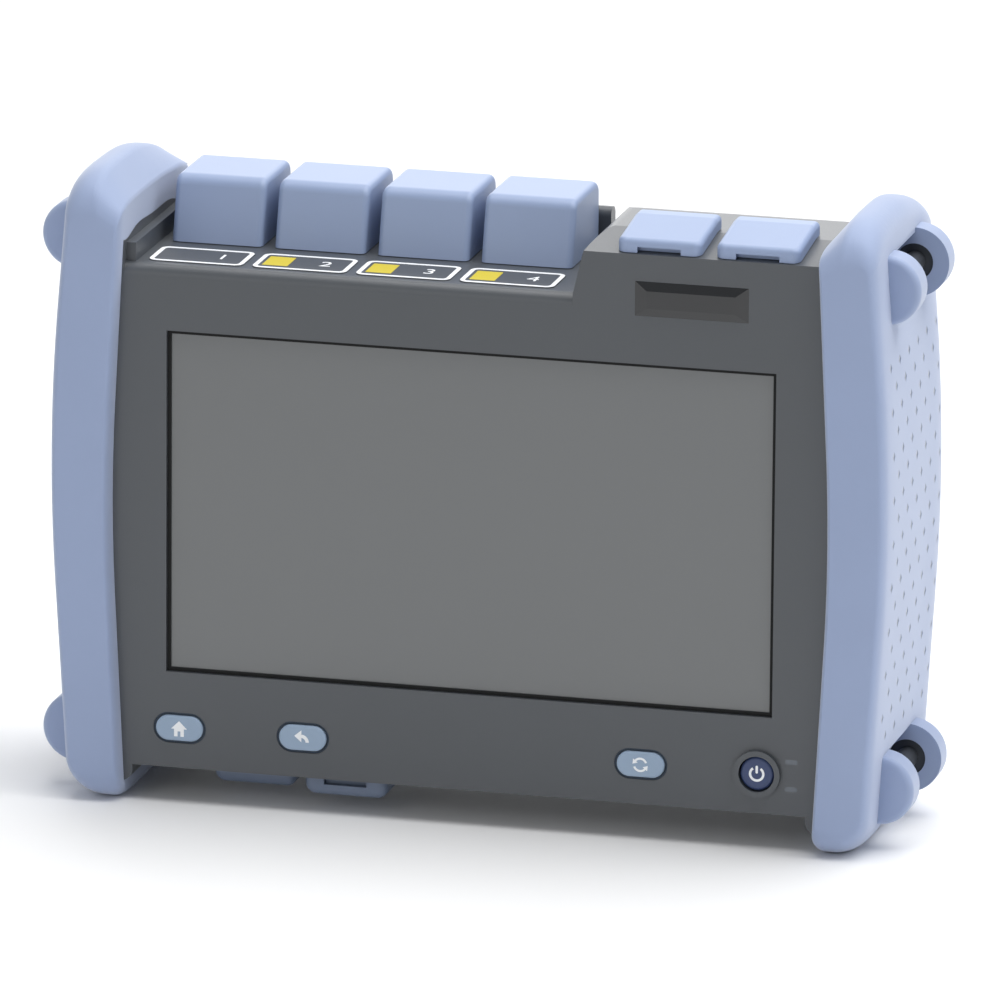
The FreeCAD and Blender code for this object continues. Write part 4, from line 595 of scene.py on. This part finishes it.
class REFLECTOMETER_OT_labels(bpy.types.Operator):
    """Print the frames, patches and numbers of the port labels"""
    bl_idname = "reflectometer.labels"
    bl_label = "Port labels"

    def execute(self, context):
        sizes = context.scene.reflectometer_signs
        film = screen_ink("Grey film", linear("#4B4F55"))
        ink = screen_ink("White label ink", look().ink)
        yellow = screen_ink("Yellow ink", look().patch)
        dress(film, "port_labels")
        low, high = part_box("port_labels")
        for index in range(4):
            cap_low, cap_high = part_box(f"port_cap_{index + 1}")
            x = (cap_low.x + cap_high.x) / 2
            y = (low.y + high.y) / 2
            width = self.film_width(low, high) - 2 * sizes.frame_inset
            height = high.y - low.y - 2 * sizes.frame_inset
            border = frame_sheet(width, height, sizes.frame_round, sizes.frame_line, sizes.thickness)
            finished(onto_top(border, x, y, high.z), f"label_frame_{index + 1}", ink,
                     smooth=False)
            if index:  # the first label has no patch
                patch = thickened(rounded_sheet(PATCH_WIDTH * width, PATCH_HEIGHT * height, PATCH_ROUND),
                                  sizes.thickness)
                finished(onto_top(patch, x - PATCH_OFF * width, y, high.z), f"label_patch_{index + 1}",
                         yellow, smooth=False)
            self.number(str(index + 1), x + NUMBER_OFF * width, y, high.z, ink, sizes)
        return {"FINISHED"}

    def film_width(self, low, high):
        """Width of one film: the four stand at the caps' pitch."""
        first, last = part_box("port_cap_1"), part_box("port_cap_4")
        return (high.x - low.x) - (last[0].x - first[0].x)

    def number(self, text, x, y, z, ink, sizes):
        """Prints one plain number, centred here."""
        curve = bpy.data.curves.new("number", "FONT")
        curve.body = text
        curve.size = NUMBER_SIZE
        curve.align_x, curve.align_y = "CENTER", "CENTER"
        curve.extrude = sizes.thickness / 2
        holder = bpy.data.objects.new("number", curve)
        bpy.context.scene.collection.objects.link(holder)
        bpy.context.view_layer.update()
        solved = holder.evaluated_get(bpy.context.evaluated_depsgraph_get())
        data = bpy.data.meshes.new_from_object(solved)
        mesh = bmesh.new()
        mesh.from_mesh(data)
        bpy.data.objects.remove(holder)
        bmesh.ops.translate(mesh, vec=(x, y, z + sizes.thickness / 2), verts=mesh.verts)
        finished(mesh, f"label_number_{text}", ink, smooth=False)


class REFLECTOMETER_OT_fittings(bpy.types.Operator):
    """Finish the sockets, screws, boards and modules"""
    bl_idname = "reflectometer.fittings"
    bl_label = "Fittings"

    def execute(self, context):
        steel = zinc_plated_steel("Zinc-plated steel", linear("#B9BBBE"))
        dress(steel, *[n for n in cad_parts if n.endswith(("screws", "_pins", "_pin"))], "key_domes",
              "usb_socket", "device_usb_socket")
        dress(turned_nickel("Turned nickel", linear("#C8C2B4")), *nodes_named("port_adapter"))
        dress(milled_aluminium("Milled aluminium", linear("#BFC2C5")), "chassis_frame", "board_shields",
              "port_plate", "optical_module", "display_module", "battery_pack")
        dress(solder_mask("Green solder mask", linear("#1F5A38")), "main_board", "keypad_board",
              "top_socket_board", "bottom_socket_board")
        dress(moulded_abs("Black socket plastic", linear("#1B1C1E")), "lan_socket", "dc_socket", "speaker")
        dress(moulded_silicone("Black rubber cord", linear("#1C1D1F"), 0.6), "case_seal")
        dress(gloss_acrylic("Smoked light pipe", linear("#565D66")), "status_light_pipes")
        return {"FINISHED"}


class REFLECTOMETER_OT_stage(bpy.types.Operator):
    """Set the floor, the lights and the camera"""
    bl_idname = "reflectometer.stage"
    bl_label = "Stage"

    def execute(self, context):
        scene = context.scene
        stage = scene.reflectometer_stage
        floor = bmesh.new()
        bmesh.ops.create_grid(floor, x_segments=8, y_segments=8, size=FLOOR_HALF)
        data = bpy.data.meshes.new("floor")
        floor.to_mesh(data)
        floor.free()
        data.materials.append(studio_floor("Seamless paper", stage.floor))
        ground = bpy.data.objects.new("floor", data)
        scene.collection.objects.link(ground)
        world = bpy.data.worlds.new("room")
        world.use_nodes = True
        room = world.node_tree.nodes["Background"]
        room.inputs["Color"].default_value = ROOM_COLOUR
        room.inputs["Strength"].default_value = stage.room
        scene.world = world
        self.softbox("top_light", stage.top_power, *TOP_BOX)
        self.softbox("side_light", stage.side_power, *SIDE_BOX)
        self.softbox("front_light", stage.front_power, *FRONT_BOX)
        self.softbox("back_light", stage.back_power, *BACK_BOX)
        self.camera(scene, stage)
        scene.view_settings.view_transform = "Standard"
        return {"FINISHED"}

    def softbox(self, name, power, size, place, aim):
        """A square area light at a place, turned to face a point."""
        light = bpy.data.lights.new(name, "AREA")
        light.energy = power
        light.size = size
        holder = bpy.data.objects.new(name, light)
        holder.location = place
        holder.rotation_euler = (Vector(place) - Vector(aim)).to_track_quat("Z", "Y").to_euler()
        bpy.context.scene.collection.objects.link(holder)

    def camera(self, scene, stage):
        """Looks at the middle of the screen's front, a little to the left and above it."""
        a, e = stage.azimuth, stage.elevation
        back = Vector((math.sin(a) * math.cos(e), -math.cos(a) * math.cos(e), math.sin(e)))
        right = Vector((math.cos(a), math.sin(a), 0))
        up = back.cross(right)
        right, up = (math.cos(stage.roll) * right + math.sin(stage.roll) * up,
                     math.cos(stage.roll) * up - math.sin(stage.roll) * right)
        target = Vector((0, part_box("front_shell")[0].y, stage.target_z))
        aim = (-back + stage.aim_right * right + stage.aim_up * up).normalized()
        side = aim.cross(up).normalized()
        camera = bpy.data.cameras.new("camera")
        camera.sensor_width = SENSOR_WIDTH_MM
        camera.lens = stage.focal
        camera.clip_end = CAMERA_REACH
        holder = bpy.data.objects.new("camera", camera)
        turn = Matrix((side, side.cross(aim), -aim)).transposed().to_4x4()
        holder.matrix_world = Matrix.Translation(target + stage.distance * back) @ turn
        scene.collection.objects.link(holder)
        scene.camera = holder


class REFLECTOMETER_PT_panel(bpy.types.Panel):
    """Lists the steps that dress the reflectometer"""
    bl_idname = "REFLECTOMETER_PT_panel"
    bl_label = "Reflectometer"
    bl_space_type = "VIEW_3D"
    bl_region_type = "UI"
    bl_category = "Reflectometer"

    def draw(self, context):
        for step in STEPS:
            self.layout.operator(step.bl_idname)
        for group in GROUPS:
            box = self.layout.box()
            settings = getattr(context.scene, group)
            for name in settings.__annotations__:
                box.prop(settings, name)


STEPS = (REFLECTOMETER_OT_case, REFLECTOMETER_OT_bumpers, REFLECTOMETER_OT_caps, REFLECTOMETER_OT_display,
         REFLECTOMETER_OT_keys, REFLECTOMETER_OT_labels, REFLECTOMETER_OT_fittings, REFLECTOMETER_OT_stage)
GROUPS = {"reflectometer_case": CaseLook, "reflectometer_pits": PitLook, "reflectometer_signs": SignLook,
          "reflectometer_stage": StageLook}


def register():
    for name, group in GROUPS.items():
        bpy.utils.register_class(group)
        setattr(bpy.types.Scene, name, PointerProperty(type=group))
    for step in STEPS + (REFLECTOMETER_PT_panel,):
        bpy.utils.register_class(step)


def unregister():
    for step in (REFLECTOMETER_PT_panel,) + STEPS[::-1]:
        bpy.utils.unregister_class(step)
    for name, group in GROUPS.items():
        delattr(bpy.types.Scene, name)
        bpy.utils.unregister_class(group)


def main():
    register()
    bpy.ops.reflectometer.case()
    bpy.ops.reflectometer.bumpers()
    bpy.ops.reflectometer.caps()
    bpy.ops.reflectometer.display()
    bpy.ops.reflectometer.keys()
    bpy.ops.reflectometer.labels()
    bpy.ops.reflectometer.fittings()
    bpy.ops.reflectometer.stage()


if __name__ == "__main__":
    main()
